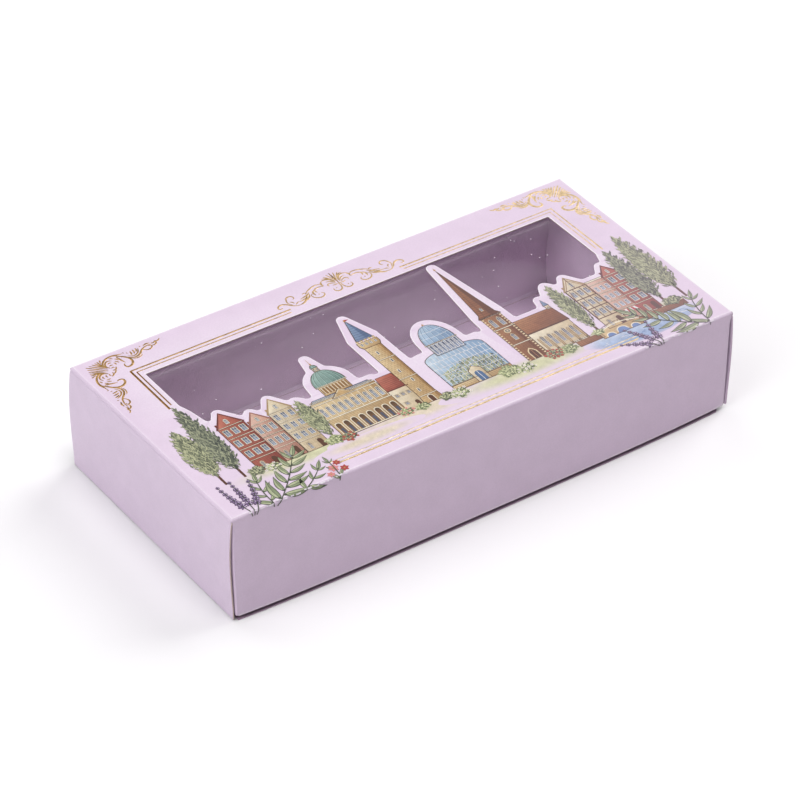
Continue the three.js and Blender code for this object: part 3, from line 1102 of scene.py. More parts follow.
def closed(outline):
    return list(outline) + [outline[0]]


def oblong(left, low, right, high):
    return [(left, low), (right, low), (right, high), (left, high)]


def washed(tones, left, right, low, high):
    """Colours of a form that the light reaches from the upper left."""
    light, middle, dark = tones

    def tint(x, y):
        t = 0.6 * (x - left) / (right - left) + 0.4 * (high - y) / (high - low)
        return mixed(light, middle, 2 * t) if t < 0.5 else mixed(middle, dark, 1.2 * t - 0.6)
    return tint


class Drawing:
    """A flat drawing in thin slabs of ink. Levels raise later inks over earlier ones, from a base."""

    def __init__(self, relief=0.12, sides=4):
        self.relief, self.sides = relief, sides
        self.base = 0
        self.points, self.faces, self.inks = [], [], []
        self.lines = {False: [], True: []}

    def area(self, outline, tint, level, grid=0):
        """A filled outline. The tint is a colour, or gives the colour at (x, y)."""
        spots = []
        if grid:
            xs, ys = zip(*outline)
            columns = between(min(xs), max(xs), math.ceil((max(xs) - min(xs)) / grid))
            rows = between(min(ys), max(ys), math.ceil((max(ys) - min(ys)) / grid))
            spots = [(x, y) for x in columns[1:-1] for y in rows[1:-1]]
        points, triangles = filled(outline, spots=spots)
        top, bottom = len(self.points), len(self.points) + len(points)
        for rise in (INK_LIFT + INK_LAYER * (self.base + level), -INK_DEPTH):
            self.points += [(x, y, rise) for x, y in points]
            self.inks += [tint(x, y) if callable(tint) else tint for x, y in points]
        sides = {}
        for a, b, c in triangles:
            self.faces.append((top + a, top + b, top + c))
            self.faces.append((bottom + c, bottom + b, bottom + a))
            for start, end in ((a, b), (b, c), (c, a)):
                if sides.pop((end, start), None) is None:
                    sides[start, end] = True
        for a, b in sides:
            self.faces.append((top + a, bottom + a, bottom + b, top + b))

    def line(self, path, width, ink, level, soft=False, ends=(1, 1)):
        """A line of ink, its width at either end a share of its full one."""
        last = len(path) - 1
        points = []
        for i, point in enumerate(path):
            thin = ends[0] + (ends[1] - ends[0]) * i / last
            share = thin + (1 - thin) * math.sin(math.pi * i / last)
            points.append((*point, width * share, ink, self.base + level))
        self.lines[soft].append(points)

    def block(self, left, low, right, high, ink, level):
        self.area(oblong(left, low, right, high), ink, level)

    def across(self, left, right, y, width, ink, level):
        self.line([(left, y), (right, y)], width, ink, level)

    def upright(self, x, low, high, width, ink, level):
        self.line([(x, low), (x, high)], width, ink, level)

    def form(self, outline, tones, level, line=0.34):
        """A shaded form with an ink line round it."""
        xs, ys = zip(*outline)
        self.area(outline, washed(tones, min(xs), max(xs), min(ys), max(ys)), level)
        self.line(closed(outline), line, OUTLINE, level + 1)

    def absorb(self, piece, level=0, x=0, y=0, tint=None):
        """Takes in another piece's mesh, with its inks or with those that a tint gives its tones."""
        mesh = piece.data
        first = len(self.points)
        places = [vertex.co + Vector((x, y, INK_LAYER * level)) for vertex in mesh.vertices]
        self.points += [tuple(place) for place in places]
        if tint:
            tones = mesh.attributes["tone"].data
            self.inks += [tint(place.x, place.y, tones[i].value) for i, place in enumerate(places)]
        else:
            self.inks += [tuple(ink.color) for ink in mesh.attributes["ink"].data]
        self.faces += [tuple(first + i for i in face.vertices) for face in mesh.polygons]
        remove(piece)

    def flat(self, name):
        """The drawing as a piece that still lies flat, in millimetres."""
        self.sweep_lines()
        mesh = built(name, self.points, [], self.faces)
        marked(mesh, "ink", "FLOAT_COLOR", "color", [value for ink in self.inks for value in ink])
        return new_object(name, mesh)

    def sweep_lines(self):
        for soft, lines in self.lines.items():
            if not lines:
                continue
            places, widths, inks, edges = [], [], [], []
            for line in lines:
                edges += [(len(places) + i, len(places) + i + 1) for i in range(len(line) - 1)]
                for x, y, width, ink, level in line:
                    places.append((x, y, INK_LIFT + INK_LAYER * level))
                    widths.append(width)
                    inks += ink
            mesh = built("paths", places, edges, [])
            marked(mesh, "width", "FLOAT", "value", widths)
            marked(mesh, "ink", "FLOAT_COLOR", "color", inks)
            values = {"Soft": soft, "Step": SOFT_STEP, "Relief": self.relief, "Sides": self.sides}
            self.absorb(grown("lines", mesh, STROKES, values))
        self.lines = {False: [], True: []}

    def rows(self, shape, x, y, columns, rows, pitch_x, pitch_y, level):
        """A small drawing repeated in columns and rows, the first of them at (x, y)."""
        shape = shape.flat("shape")
        values = {"Shape": shape, "Columns": columns, "Rows": rows, "Pitch X": pitch_x, "Pitch Y": pitch_y}
        self.absorb(grown("rows", bpy.data.meshes.new("start"), ROWS, values), self.base + level, x, y)
        remove(shape)

    def stamp(self, shape, x, y, level):
        """A small drawing once."""
        self.rows(shape, x, y, 1, 1, 0, 0, level)

    def dabs(self, outline, tint, level, spacing, size, heading, sway, seed, shape=None):
        """Brush dabs scattered over an outline. The tint gives a dab's colour by its place and tone. A
        small drawing that takes the dab's place keeps its own inks."""
        dab = shape.flat("dab") if shape else brush_dab(*size)
        points, triangles = filled(outline)
        mesh = built("ground", [(x, y, 0) for x, y in points], [], triangles)
        values = {"Dab": dab, "Spacing": spacing, "Heading": heading, "Sway": sway,
                  "Height": 5 * INK_LAYER, "Seed": seed}
        self.absorb(grown("dabs", mesh, DABS, values), self.base + level, tint=None if shape else tint)
        remove(dab)

    def leaves(self, path, leaf, level, pitch, turn, size, taper, seed):
        """Leaves of one kind along a stem."""
        mesh = built("stem", [(x, y, 0) for x, y in path], [(i, i + 1) for i in range(len(path) - 1)], [])
        values = {"Leaf": leaf, "Pitch": pitch, "Turn": turn, "Size": size, "Taper": taper, "Seed": seed}
        self.absorb(grown("leaves", mesh, LEAVES, values), level)

    def on_card(self, name, material):
        """The finished drawing, laid on the card and over its crease."""
        piece = self.flat(name)
        sheet = bmesh.new()
        sheet.from_mesh(piece.data)
        if min(y for _, y, _ in self.points) < CREASE - HALF_WIDTH:
            for turn in between(0, 90, 5):
                y = CREASE - HALF_WIDTH - CREASE * math.radians(turn)
                parts = sheet.verts[:] + sheet.edges[:] + sheet.faces[:]
                bmesh.ops.bisect_plane(sheet, geom=parts, plane_co=(0, y, 0), plane_no=(0, 1, 0))
        for vertex in sheet.verts:
            vertex.co = Vector(laid(*vertex.co)) * MM
        sheet.to_mesh(piece.data)
        sheet.free()
        piece.data.materials.append(material)
        return piece


def blocks(*parts):
    """A small drawing of oblongs, each with its left, low, right and high sides, its ink and level."""
    shape = Drawing()
    for part in parts:
        shape.block(*part)
    return shape


def brush_dab(length, width):
    """One closed dab of paint with few faces, pointed at both ends."""
    ring = ((length / 2, 0), (0.1 * length, width / 2), (-length / 2, 0), (0.1 * length, -width / 2))
    points = [(x, y, INK_LIFT) for x, y in ring] + [(0, 0, INK_LIFT + 0.015), (0, 0, -INK_DEPTH)]
    faces = []
    for i in range(4):
        faces.append((i, (i + 1) % 4, 4))
        faces.append(((i + 1) % 4, i, 5))
    return new_object("dab", built("dab", points, [], faces))


STROKES = strokes_tree()
ROWS = rows_tree()
DABS = dabs_tree()
LEAVES = leaves_tree()


# Gold lines and scrolls

# What X and Y add up to on the corner's diagonal, where the scrolls' middle line is along X, and how
# much wider the foil prints than it is drawn
CORNER_SUM = -61.3
SCROLL_MIDDLE = 0.2
FOIL_SPREAD = 0.2

# Strokes of one arm of the back left corner's scroll: width, share of it at either end, points
CORNER_ARM = (
    # the outer band, the scroll under it and its leaf
    (0.75, 0.5, 0.3, (-107.5, 49), (-108.8, 50.7), (-108.7, 52.4), (-107.1, 54.1), (-104.9, 55.1),
     (-102.4, 55.3), (-100.5, 54.8), (-98.4, 54.3)),
    (0.85, 0.35, 0.45, (-104.4, 55), (-102, 54.9), (-100.2, 53.3), (-98.5, 51.7), (-97.5, 49.8),
     (-97.6, 47.8), (-98.7, 46.2), (-100.2, 45.6), (-101.3, 46), (-101.6, 47.3), (-101.1, 48.1)),
    (0.6, 0.8, 0.3, (-101.6, 53.6), (-101, 50.9), (-100.4, 48.6)),
    # the inner curl and the small leaves round it
    (0.6, 0.5, 0.35, (-107.3, 48.6), (-108.2, 49.9), (-108.1, 51.5), (-107.2, 52.7), (-105.9, 53.2),
     (-104.4, 52.6)),
    (0.5, 0.4, 0.4, (-106.9, 51.4), (-106.1, 51.8), (-105.2, 51.5)),
    (0.5, 0.4, 0.4, (-107, 49.9), (-106.2, 50.2), (-105.4, 49.9)),
    (0.5, 0.4, 0.4, (-107, 48.4), (-106.2, 48.6), (-105.6, 48.2)),
    (0.55, 0.4, 0.4, (-107.3, 46.9), (-106.2, 46.8), (-105.4, 47.4), (-105, 48.4)),
    (0.5, 0.4, 0.4, (-107.9, 45.2), (-107.3, 45), (-106.6, 46)),
    (0.5, 0.4, 0.4, (-104.5, 51), (-104, 50.3), (-104.2, 49.4)),
    (0.5, 0.4, 0.4, (-103.6, 51.6), (-102.9, 51), (-102.4, 50)),
    (0.5, 0.4, 0.4, (-102.9, 53), (-102.2, 52.5), (-101.9, 51.4)),
    (0.5, 0.4, 0.4, (-104.7, 54.2), (-104, 54), (-103.4, 53.5)),
    # the arm, its second line and the leaves on it
    (0.7, 0.35, 0.35, (-99.4, 52.6), (-98, 51.2), (-96.6, 50.1), (-95, 49.6), (-93.2, 50), (-91.8, 51.1),
     (-90.6, 52.3), (-88.9, 53.2), (-86.7, 53.6), (-84.9, 53.4)),
    (0.5, 0.3, 0.3, (-97.4, 51.9), (-95.9, 50.9), (-94.2, 50.8), (-92.8, 51.7), (-91.9, 53), (-91.4, 54.2)),
    (0.4, 0.3, 0.3, (-96.8, 49.4), (-95, 48.7), (-93.1, 48.9), (-91.8, 49.7)),
    (0.6, 0.6, 0.5, (-95.7, 51.6), (-95.3, 52.8), (-95.2, 54)),
    (0.6, 0.6, 0.5, (-94.3, 51.8), (-93.9, 53), (-93.8, 54.4)),
    (0.55, 0.6, 0.5, (-93.1, 52.5), (-92.5, 53.4), (-92.4, 54.6)),
    # the curl and the tail at the end of the arm
    (0.5, 0.4, 0.5, (-90.4, 52.4), (-89.5, 51.6), (-88.4, 51), (-87.1, 51.1), (-86.1, 51.9), (-86.2, 52.9),
     (-87.1, 53)),
    (0.65, 0.4, 0.4, (-88.9, 54.2), (-87.3, 54.8), (-85.7, 54.5)),
    (0.55, 0.4, 0.4, (-86.1, 52.7), (-84.7, 52.4), (-83.5, 53), (-83.3, 53.9), (-84.1, 54.1)),
    (0.55, 0.4, 0.5, (-85, 54.5), (-84.3, 53.8), (-83.3, 54.4), (-82.4, 54.1), (-81.5, 54.4),
     (-80.8, 55.1)),
)
CORNER_BEADS = ((-97.9, 54.6), (-96.7, 53.7), (-90.2, 54.6))

# Rays of the corner's fan on one side of its diagonal: foot and tip
FAN_RAYS = (
    ((-108.9, 47.7), (-115.4, 54.1)), ((-108.5, 48.5), (-113.8, 54.3)), ((-108.4, 49.2), (-112.3, 54.6)),
    ((-108.9, 50.3), (-111, 54.8)), ((-109.3, 51.6), (-109.8, 55.1)), ((-109, 53.3), (-108.3, 55.5)),
)

# Strokes of the right half of the middle scroll, from its own middle line, in the same way
MIDDLE_HALF = (
    # the plume
    (0.45, 0.5, 0.6, (0.3, 49), (0.9, 51.6), (1.7, 54.1)),
    (0.45, 0.5, 0.6, (0.8, 48.8), (2, 51.6), (3.4, 53.5)),
    (0.4, 0.4, 0.4, (1.8, 50.4), (3.2, 52.2), (4.9, 52.7)),
    (0.6, 0.5, 0.3, (0.8, 48.4), (2.5, 51), (4.3, 51.7), (6.1, 51.3)),
    (0.5, 0.5, 0.4, (0.9, 47.7), (2.4, 49.4), (4.3, 50.1)),
    (0.45, 0.4, 0.5, (1.2, 47.2), (2.5, 48.1), (3.9, 48.5), (4.9, 47.8), (4.6, 46.9)),
    (0.45, 0.4, 0.4, (0.7, 46.7), (1.9, 46.5), (3.1, 46.8)),
    (0.55, 0.5, 0.5, (0.4, 46.8), (0.4, 44.9), (0.9, 43.2), (1.8, 42.3), (3.2, 42.2), (4.3, 43.2),
     (4.2, 44.6)),
    # the upper stem, from its joint to the leaves at its turn
    (0.75, 0.5, 0.4, (6, 51.3), (6.8, 49.8), (6.6, 48.3)),
    (0.5, 0.5, 0.6, (6.9, 49.6), (8.4, 50.6), (10.4, 50.5), (12.4, 49.8), (14.2, 48.9), (15.7, 47.6)),
    (0.65, 0.5, 0.3, (14.2, 47.9), (15.4, 46.7), (17.3, 46.3), (19.6, 45.7)),
    (0.65, 0.5, 0.3, (14.5, 46.6), (15.9, 44.8), (17.8, 43.7)),
    (0.75, 0.5, 0.4, (15.6, 47.3), (17.1, 44.9), (19.4, 43.1), (21.4, 42.7)),
    (0.45, 0.5, 0.5, (15.2, 48.2), (16, 48.5), (17, 48.3)),
    (0.5, 0.5, 0.3, (17.2, 45.4), (18.7, 44.8), (20.6, 44.6)),
    # the lower stem and its curl
    (0.5, 0.5, 0.5, (6.8, 48.3), (8.6, 48.8), (10.2, 48.6), (11.6, 47.9), (12.7, 47)),
    (0.7, 0.6, 0.4, (12.2, 47.8), (12.9, 46.3), (12.6, 44.7)),
    (0.5, 0.5, 0.4, (11.2, 48), (11.4, 47), (11.1, 46)),
    (0.5, 0.4, 0.5, (13.5, 46.4), (14.4, 45.2), (13.8, 43.5), (12.3, 42.5), (10.6, 42.4), (9.4, 43.2),
     (9.1, 44.4), (9.8, 45.2)),
    # the end: a curl, a leaf in it and the tail
    (0.5, 0.4, 0.5, (24.2, 44.2), (25.2, 46.1), (24.9, 48), (23.9, 49.6), (22.3, 49.9), (21.3, 49),
     (21.3, 47.9), (22.1, 47.5)),
    (0.45, 0.5, 0.4, (24.1, 46.6), (23.3, 45.9), (23, 44.8)),
    (0.4, 0.4, 0.4, (20.6, 44.9), (21.8, 44.5), (22.9, 43.8)),
    (0.6, 0.4, 0.5, (21, 42.7), (23.1, 42.9), (25, 44.3), (26.4, 46), (28.2, 46.8), (29.8, 46.3),
     (30.5, 45.2), (29.8, 44.3), (28.8, 44.7)),
)
MIDDLE_BEADS = ((2.8, 44.3), (11.2, 44.6))

# The double line round the print: both widths, how far apart they are, the inner line's places, its feet
# at the left and right, the half gap at the middle scroll, and its ends as shares of the back
OUTER_LINE = 0.95
INNER_LINE = 0.63
LINES_APART = 1.85
INNER_LEFT = -100.1
INNER_RIGHT = 101.2
INNER_BACK = 40.3
BACK_SLANT = 0.35
LEFT_FOOT = 14.9
RIGHT_FOOT = 8
SCROLL_GAP = 27.4
GAP_SHARES = (0.37, 0.63)

# The lines at the front: place of the first, its ends, and how far below it, how wide and what each is;
# the pale strips are painted highlight on the foil
INNER_FRONT = -49.9
FRONT_ENDS = (-70.5, 80)
FRONT_LINES = ((0, 0.5, GOLD_HIGHLIGHT), (1.65, 0.5, GOLD_HIGHLIGHT), (2.15, 0.5, GOLD))


def across_corner(point):
    return CORNER_SUM - point[1], CORNER_SUM - point[0]


def mirrored(point):
    return 2 * SCROLL_MIDDLE - point[0], point[1]


def gold_strokes(art, strokes, *moves):
    """Draws strokes as they are, and after each move in turn."""
    for move in (tuple, *moves):
        for width, start, end, *path in strokes:
            path = [move(point) for point in path]
            spread = FOIL_SPREAD * (1 + smooth(path[0][0] / HALF_LENGTH))
            art.line(path, width + spread, GOLD, 0, soft=len(path) > 2, ends=(start, end))


def beads(places):
    """Round dots of foil, each as a very short stroke."""
    return [(0.75, 0.9, 0.9, (x - 0.15, y), (x + 0.15, y)) for x, y in places]


def gold_frame(art):
    """Double lines round the print, open at the middle scroll and where trees and sprays stand."""
    for width, step in ((INNER_LINE, 0), (OUTER_LINE, 1)):
        out = LINES_APART * step
        left, right, back = INNER_LEFT - out, INNER_RIGHT + out, INNER_BACK + out
        gap = SCROLL_GAP - 0.8 * step
        start, end = (left, back + BACK_SLANT), (right, back - BACK_SLANT)
        gap_left, gap_right = (mixed(start, end, share)[1] for share in GAP_SHARES)
        # the sides at the left in darker gold: painted shade
        art.line([(left - 0.25, LEFT_FOOT - 2 * step), start], width, GOLD_SHADED, 0)
        art.line([start, (-gap, gap_left)], 0.85 * width, GOLD, 0)
        art.line([(gap, gap_right), end, (right, RIGHT_FOOT - 2 * step)], 0.85 * width, GOLD, 0)
    left, right = FRONT_ENDS
    for drop, width, gold in FRONT_LINES:
        art.across(left + drop, right - 1.5 * drop, INNER_FRONT - drop, width, gold, 0)


def make_gold(material):
    art = Drawing(relief=0.16, sides=8)
    fan = [(0.45, 0.3, 0.6, foot, mixed(foot, tip, 0.4), mixed(foot, tip, 0.75), tip)
           for foot, tip in FAN_RAYS]
    corner = [*CORNER_ARM, *fan, *beads(CORNER_BEADS)]
    gold_strokes(art, corner, across_corner, mirrored, lambda point: mirrored(across_corner(point)))
    spine = (0.55, 0.4, 0.5, (0, 46.4), (0, 50.4), (0, 54.7))
    gold_strokes(art, [*MIDDLE_HALF, *beads(MIDDLE_BEADS), spine], lambda point: (-point[0], point[1]))
    gold_frame(art)
    return shaded(art.on_card("gold_scrolls", material), 50)


# Printed town

# The line that the buildings stand on, and the width of a fine ink line
FOOT = -40
FINE_LINE = 0.2


def extent(name):
    """A motif's middle, half width, eaves, tip, left and right."""
    _, x, half, eaves, tip = MOTIFS[name]
    return x, half, eaves, tip, x - half, x + half


def opening(kind, low, wide, high):
    """Outline of a window or door about x = 0: square, round-headed or lancet."""
    half = wide / 2
    if kind == "square":
        return oblong(-half, low, half, low + high)
    rise = half * (1.5 if kind == "lancet" else 1)
    outline = [(-half, low), (half, low)]
    for c in between(1, -1, 8):
        lift = (1 - abs(c)) ** 0.6 if kind == "lancet" else math.sqrt(1 - c * c)
        outline.append((half * c, low + high - rise + rise * lift))
    return outline


def shifted(outline, x, y=0):
    return [(px + x, py + y) for px, py in outline]


def ring(x, y, wide, high, count):
    """Points evenly round an ellipse."""
    return [(x + wide * math.cos(t), y + high * math.sin(t)) for t in between(0, 2 * math.pi, count)[:-1]]


def leaded(high):
    """Colours of a pane, darker towards its head."""
    return lambda x, y: mixed(PANE, PANE_LIGHT, 1 - y / high)


def window(kind, wide, high, frame, bars=1):
    """One window: its frame, its panes and its glazing bars."""
    rim = min(0.26, 0.18 * wide)
    shape = Drawing()
    shape.area(opening(kind, -0.1, wide + 0.2, high + 0.2), OUTLINE, -0.6)
    shape.area(opening(kind, 0, wide, high), frame, 0)
    shape.area(opening(kind, rim, wide - 2 * rim, high - 2 * rim), leaded(high), 1)
    for k in range(bars):
        x = (k + 1) * wide / (bars + 1) - wide / 2
        shape.block(x - 0.07, rim, x + 0.07, high - rim, frame, 2)
    shape.block(rim - wide / 2, 0.52 * high, wide / 2 - rim, 0.52 * high + 0.12, frame, 2)
    return shape


def windows(art, shape, left, right, low, count, level, rows=1, rise=0):
    """Like windows spread evenly between two sides of a wall, in rows."""
    pitch = (right - left) / count
    art.rows(shape, left + pitch / 2, low, count, rows, pitch, rise, level)


def doorway(art, kind, x, wide, high, ink, level):
    art.area(shifted(opening(kind, 0, wide, high), x, FOOT), ink, level)


def courses(art, left, right, low, high, pitch, ink, level):
    """Thin level lines, as brick or stone courses."""
    course = blocks((0, 0, right - left, 0.14, mixed(ink, OUTLINE, 0.3), 0))
    art.rows(course, left, low + pitch / 2, 1, int((high - low) / pitch), 0, pitch, level)


def mouldings(art, left, right, level, wide, *heights):
    """A pale moulding at each height, with its shadow below it."""
    left, right = left - 0.2, right + 0.2
    for y in heights:
        low, high = y - wide / 2, y + wide / 2
        art.block(left, low, right, high, CREAM[0], level)
        art.across(left, right, low, FINE_LINE, OUTLINE, level + 1)
        art.across(left, right, high, FINE_LINE / 2, OUTLINE, level + 1)


def shade(art, outline, tones, level, depth=0.5):
    """The side of a form that turns from the light, under its windows and lines."""
    art.area(outline, mixed(tones[1], tones[2], depth), level + 0.5)


def gabled_house(art, name, tones, storeys, columns, timber=False):
    """A narrow house with its gable to the front."""
    x, half, eaves, tip, left, right = extent(name)
    art.form([(left, FOOT), (right, FOOT), (right, eaves), (x, tip), (left, eaves)], tones, 0)
    storey = (eaves - FOOT) / storeys
    if not timber:
        courses(art, left + 0.3, right - 0.3, FOOT, eaves, 0.75, tones[2], 2)
    mouldings(art, left, right, 3, 0.4, *(FOOT + k * storey for k in range(1, storeys + 1)))
    glass = window("square", 1.25 * half / columns, 0.56 * storey, CREAM[0])
    windows(art, glass, left + 0.3, right - 0.3, FOOT + 1.24 * storey, columns, 4, storeys - 1, storey)
    shop = window("round", 1.7, 0.62 * storey, CREAM[1], bars=2)
    windows(art, shop, left + 0.4, x + 0.3, FOOT + 0.12 * storey, 1, 4)
    door = shifted(opening("round", 0, 1.9, 0.74 * storey), x + 0.5 * half, FOOT)
    art.area(door, DOOR, 4)
    art.line(closed(door), FINE_LINE, OUTLINE, 5)
    attic = window("round", 0.28 * half, 0.3 * (tip - eaves) + 0.6, CREAM[0])
    windows(art, attic, x - 1, x + 1, eaves + 0.16 * (tip - eaves), 1, 4)
    if timber:
        timbers(art, left, right, eaves, tip, storey, storeys)
    for wide, ink, level in ((0.9, tones[2], 5), (0.5, CREAM[0], 6)):
        art.line([(left - 0.3, eaves - 0.3), (x, tip + 0.1), (right + 0.3, eaves - 0.3)], wide, ink, level)
    shade(art, oblong(right - 0.3 * half, FOOT, right, eaves), tones, 0)
    art.upright(left + 0.8, eaves + 1.4, eaves + 3.2, 0.9, tones[2], -1)


def timbers(art, left, right, eaves, tip, storey, storeys):
    """Posts, rails and braces of a timbered front."""
    middle = (left + right) / 2
    for k in range(1, storeys + 1):
        art.across(left, right, FOOT + k * storey, 0.5, SHINGLE[2], 4)
    for x in between(left + 0.25, right - 0.25, 3):
        art.upright(x, FOOT + storey, eaves, 0.36, SHINGLE[2], 4)
    art.upright(middle, eaves, tip, 0.36, SHINGLE[2], 4)
    for side, edge in ((1, left), (-1, right)):
        art.line([(edge + side, eaves + 0.2), (middle, tip - 2)], 0.3, SHINGLE[1], 4)
        for k in range(1, storeys):
            y = FOOT + k * storey
            art.line([(edge + 0.3 * side, y), (edge + 1.6 * side, y + 0.9 * storey)], 0.3, SHINGLE[1], 4)


def dome(art, x, half, low, high, tones, ribs, level):
    """A ribbed dome, round from its springing to its crown."""
    def arc(reach, turns):
        return [(x + reach * math.cos(turn), low + (high - low) * math.sin(turn)) for turn in turns]

    art.form(arc(half, between(math.pi, 0, 24)), tones, level)
    for k in range(1, ribs):
        rib = arc(half * math.cos(math.pi * k / ribs), between(0, 1.5, 8))
        art.line(rib, FINE_LINE, tones[2], level + 2, soft=True)
        art.line(shifted(rib, -0.22), FINE_LINE, tones[0], level + 2, soft=True)


def colonnade(art, left, right, low, high, count, level):
    """Columns on a shared base, with dark bays between them."""
    art.block(left, low, right, high, STONE[2], level)
    top = high - low
    column = blocks((-0.24, 0, 0.24, top, CREAM[0], 0), (0.02, 0, 0.24, top, STONE[1], 1),
                    (-0.38, top - 0.4, 0.38, top, CREAM[0], 1), (-0.38, 0, 0.38, 0.3, CREAM[1], 1))
    windows(art, column, left, right, low, count, level + 1)


def finial(art, x, low, high, level):
    art.line([(x, low), (x, high)], 0.34, GILT, level, ends=(1, 0.3))
    art.area(ring(x, low + 0.9, 0.42, 0.42, 11), GILT, level + 1)


def market_hall(art):
    """A long stone hall: an arcade below, tall windows above, and a copper dome on a drum."""
    x, half, eaves, _, left, right = extent("hall")
    floor, cornice = -27.5, eaves - 1.8
    wall_top = eaves - 1.6
    art.form(oblong(left, FOOT, right, wall_top), STONE, 0)
    roof = [(left + 0.6, wall_top), (right - 0.6, wall_top), (right - 2, eaves), (left + 2, eaves)]
    art.form(roof, SLATE, 1)
    courses(art, left + 0.3, right - 0.3, FOOT, floor, 0.9, STONE[2], 2)
    arch = Drawing()
    arch.area(opening("round", 0, 2.9, 8.6), CREAM[0], 0)
    arch.area(opening("round", 0, 2.2, 8.1), lambda x, y: mixed(ARCADE, STONE[2], 1 - y / 8.6), 1)
    arch.area(opening("round", 0.1, 1.1, 4.6), PANE, 2)
    windows(art, arch, left + 0.4, right - 0.4, FOOT + 0.8, 8, 3)
    windows(art, window("round", 1.7, 6.2, CREAM[0]), left + 0.4, right - 0.4, floor + 1.7, 10, 3)
    pilaster = blocks((-0.22, 0, 0.22, 9.4, CREAM[0], 0), (0.06, 0, 0.22, 9.4, STONE[1], 1))
    art.rows(pilaster, left + 0.4, floor + 0.6, 11, 1, (right - left - 0.8) / 10, 0, 4)
    for y, wide in ((FOOT + 0.5, 0.7), (floor, 0.7), (floor + 10.2, 0.6), (cornice, 0.5)):
        mouldings(art, left, right, 5, wide, y)
    rail_left, rail_right = left + 0.5, right - 0.5
    balusters = round((rail_right - rail_left) / 0.6)
    windows(art, blocks((-0.13, 0, 0.13, 0.9, CREAM[0], 0)), rail_left, rail_right, cornice, balusters, 5)
    mouldings(art, rail_left, rail_right, 5, 0.3, cornice + 1.0)
    art.form([(x - 5.4, floor + 10.4), (x + 5.4, floor + 10.4), (x, eaves + 1.4)], CREAM, 6)
    art.area([(x - 3.6, floor + 10.9), (x + 3.6, floor + 10.9), (x, eaves + 0.6)], STONE[1], 8)
    shade(art, oblong(right - 2.6, FOOT, right, wall_top), STONE, 0)
    _, dome_half, springing, crown, _, _ = extent("hall_dome")
    drum_low, drum_half = eaves - 0.2, dome_half - 1.6
    drum_left, drum_right = x - drum_half, x + drum_half
    art.form(oblong(drum_left, drum_low, drum_right, springing), STONE, -2)
    colonnade(art, drum_left + 0.5, drum_right - 0.5, drum_low + 1.2, springing - 0.8, 8, 0)
    dome(art, x, dome_half - 1, springing, crown, COPPER, 9, 1)
    mouldings(art, drum_left - 0.6, drum_right + 0.6, 4, 0.7, springing)
    _, small, neck, top, lantern_left, lantern_right = extent("lantern")
    art.form(oblong(lantern_left, crown - 0.3, lantern_right, neck - 0.6), CREAM, 1)
    windows(art, window("round", 0.7, 1.7, STONE[0], 0), lantern_left, lantern_right, crown + 0.3, 2, 3)
    dome(art, x, small + 0.2, neck - 0.6, neck + 1.6, COPPER, 4, 1)
    finial(art, x, neck + 1.4, top, 3)


def cottage(art):
    """A low cottage with a tiled roof between two taller neighbours."""
    x, _, eaves, _, left, right = extent("cottage")
    roof_low, roof_left, roof_right = -25.4, left - 0.6, right + 0.6
    art.form(oblong(left, FOOT, right, -25), CREAM, 0)
    roof = [(roof_left, roof_low), (roof_right, roof_low), (right - 0.8, eaves), (left + 0.8, eaves)]
    art.form(roof, BRICK, 1)
    courses(art, left + 0.6, right - 0.6, -24.8, eaves - 0.6, 1.1, BRICK[2], 3)
    windows(art, window("square", 1.7, 2.2, CREAM[1]), left + 0.4, right - 0.4, -30.6, 3, 3)
    windows(art, window("square", 1.8, 2.2, CREAM[1]), left + 0.4, x, -36.6, 1, 3)
    doorway(art, "round", x + 2, 1.8, 4.6, DOOR, 3)
    art.across(roof_left, roof_right, roof_low, 0.5, BRICK[2], 4)


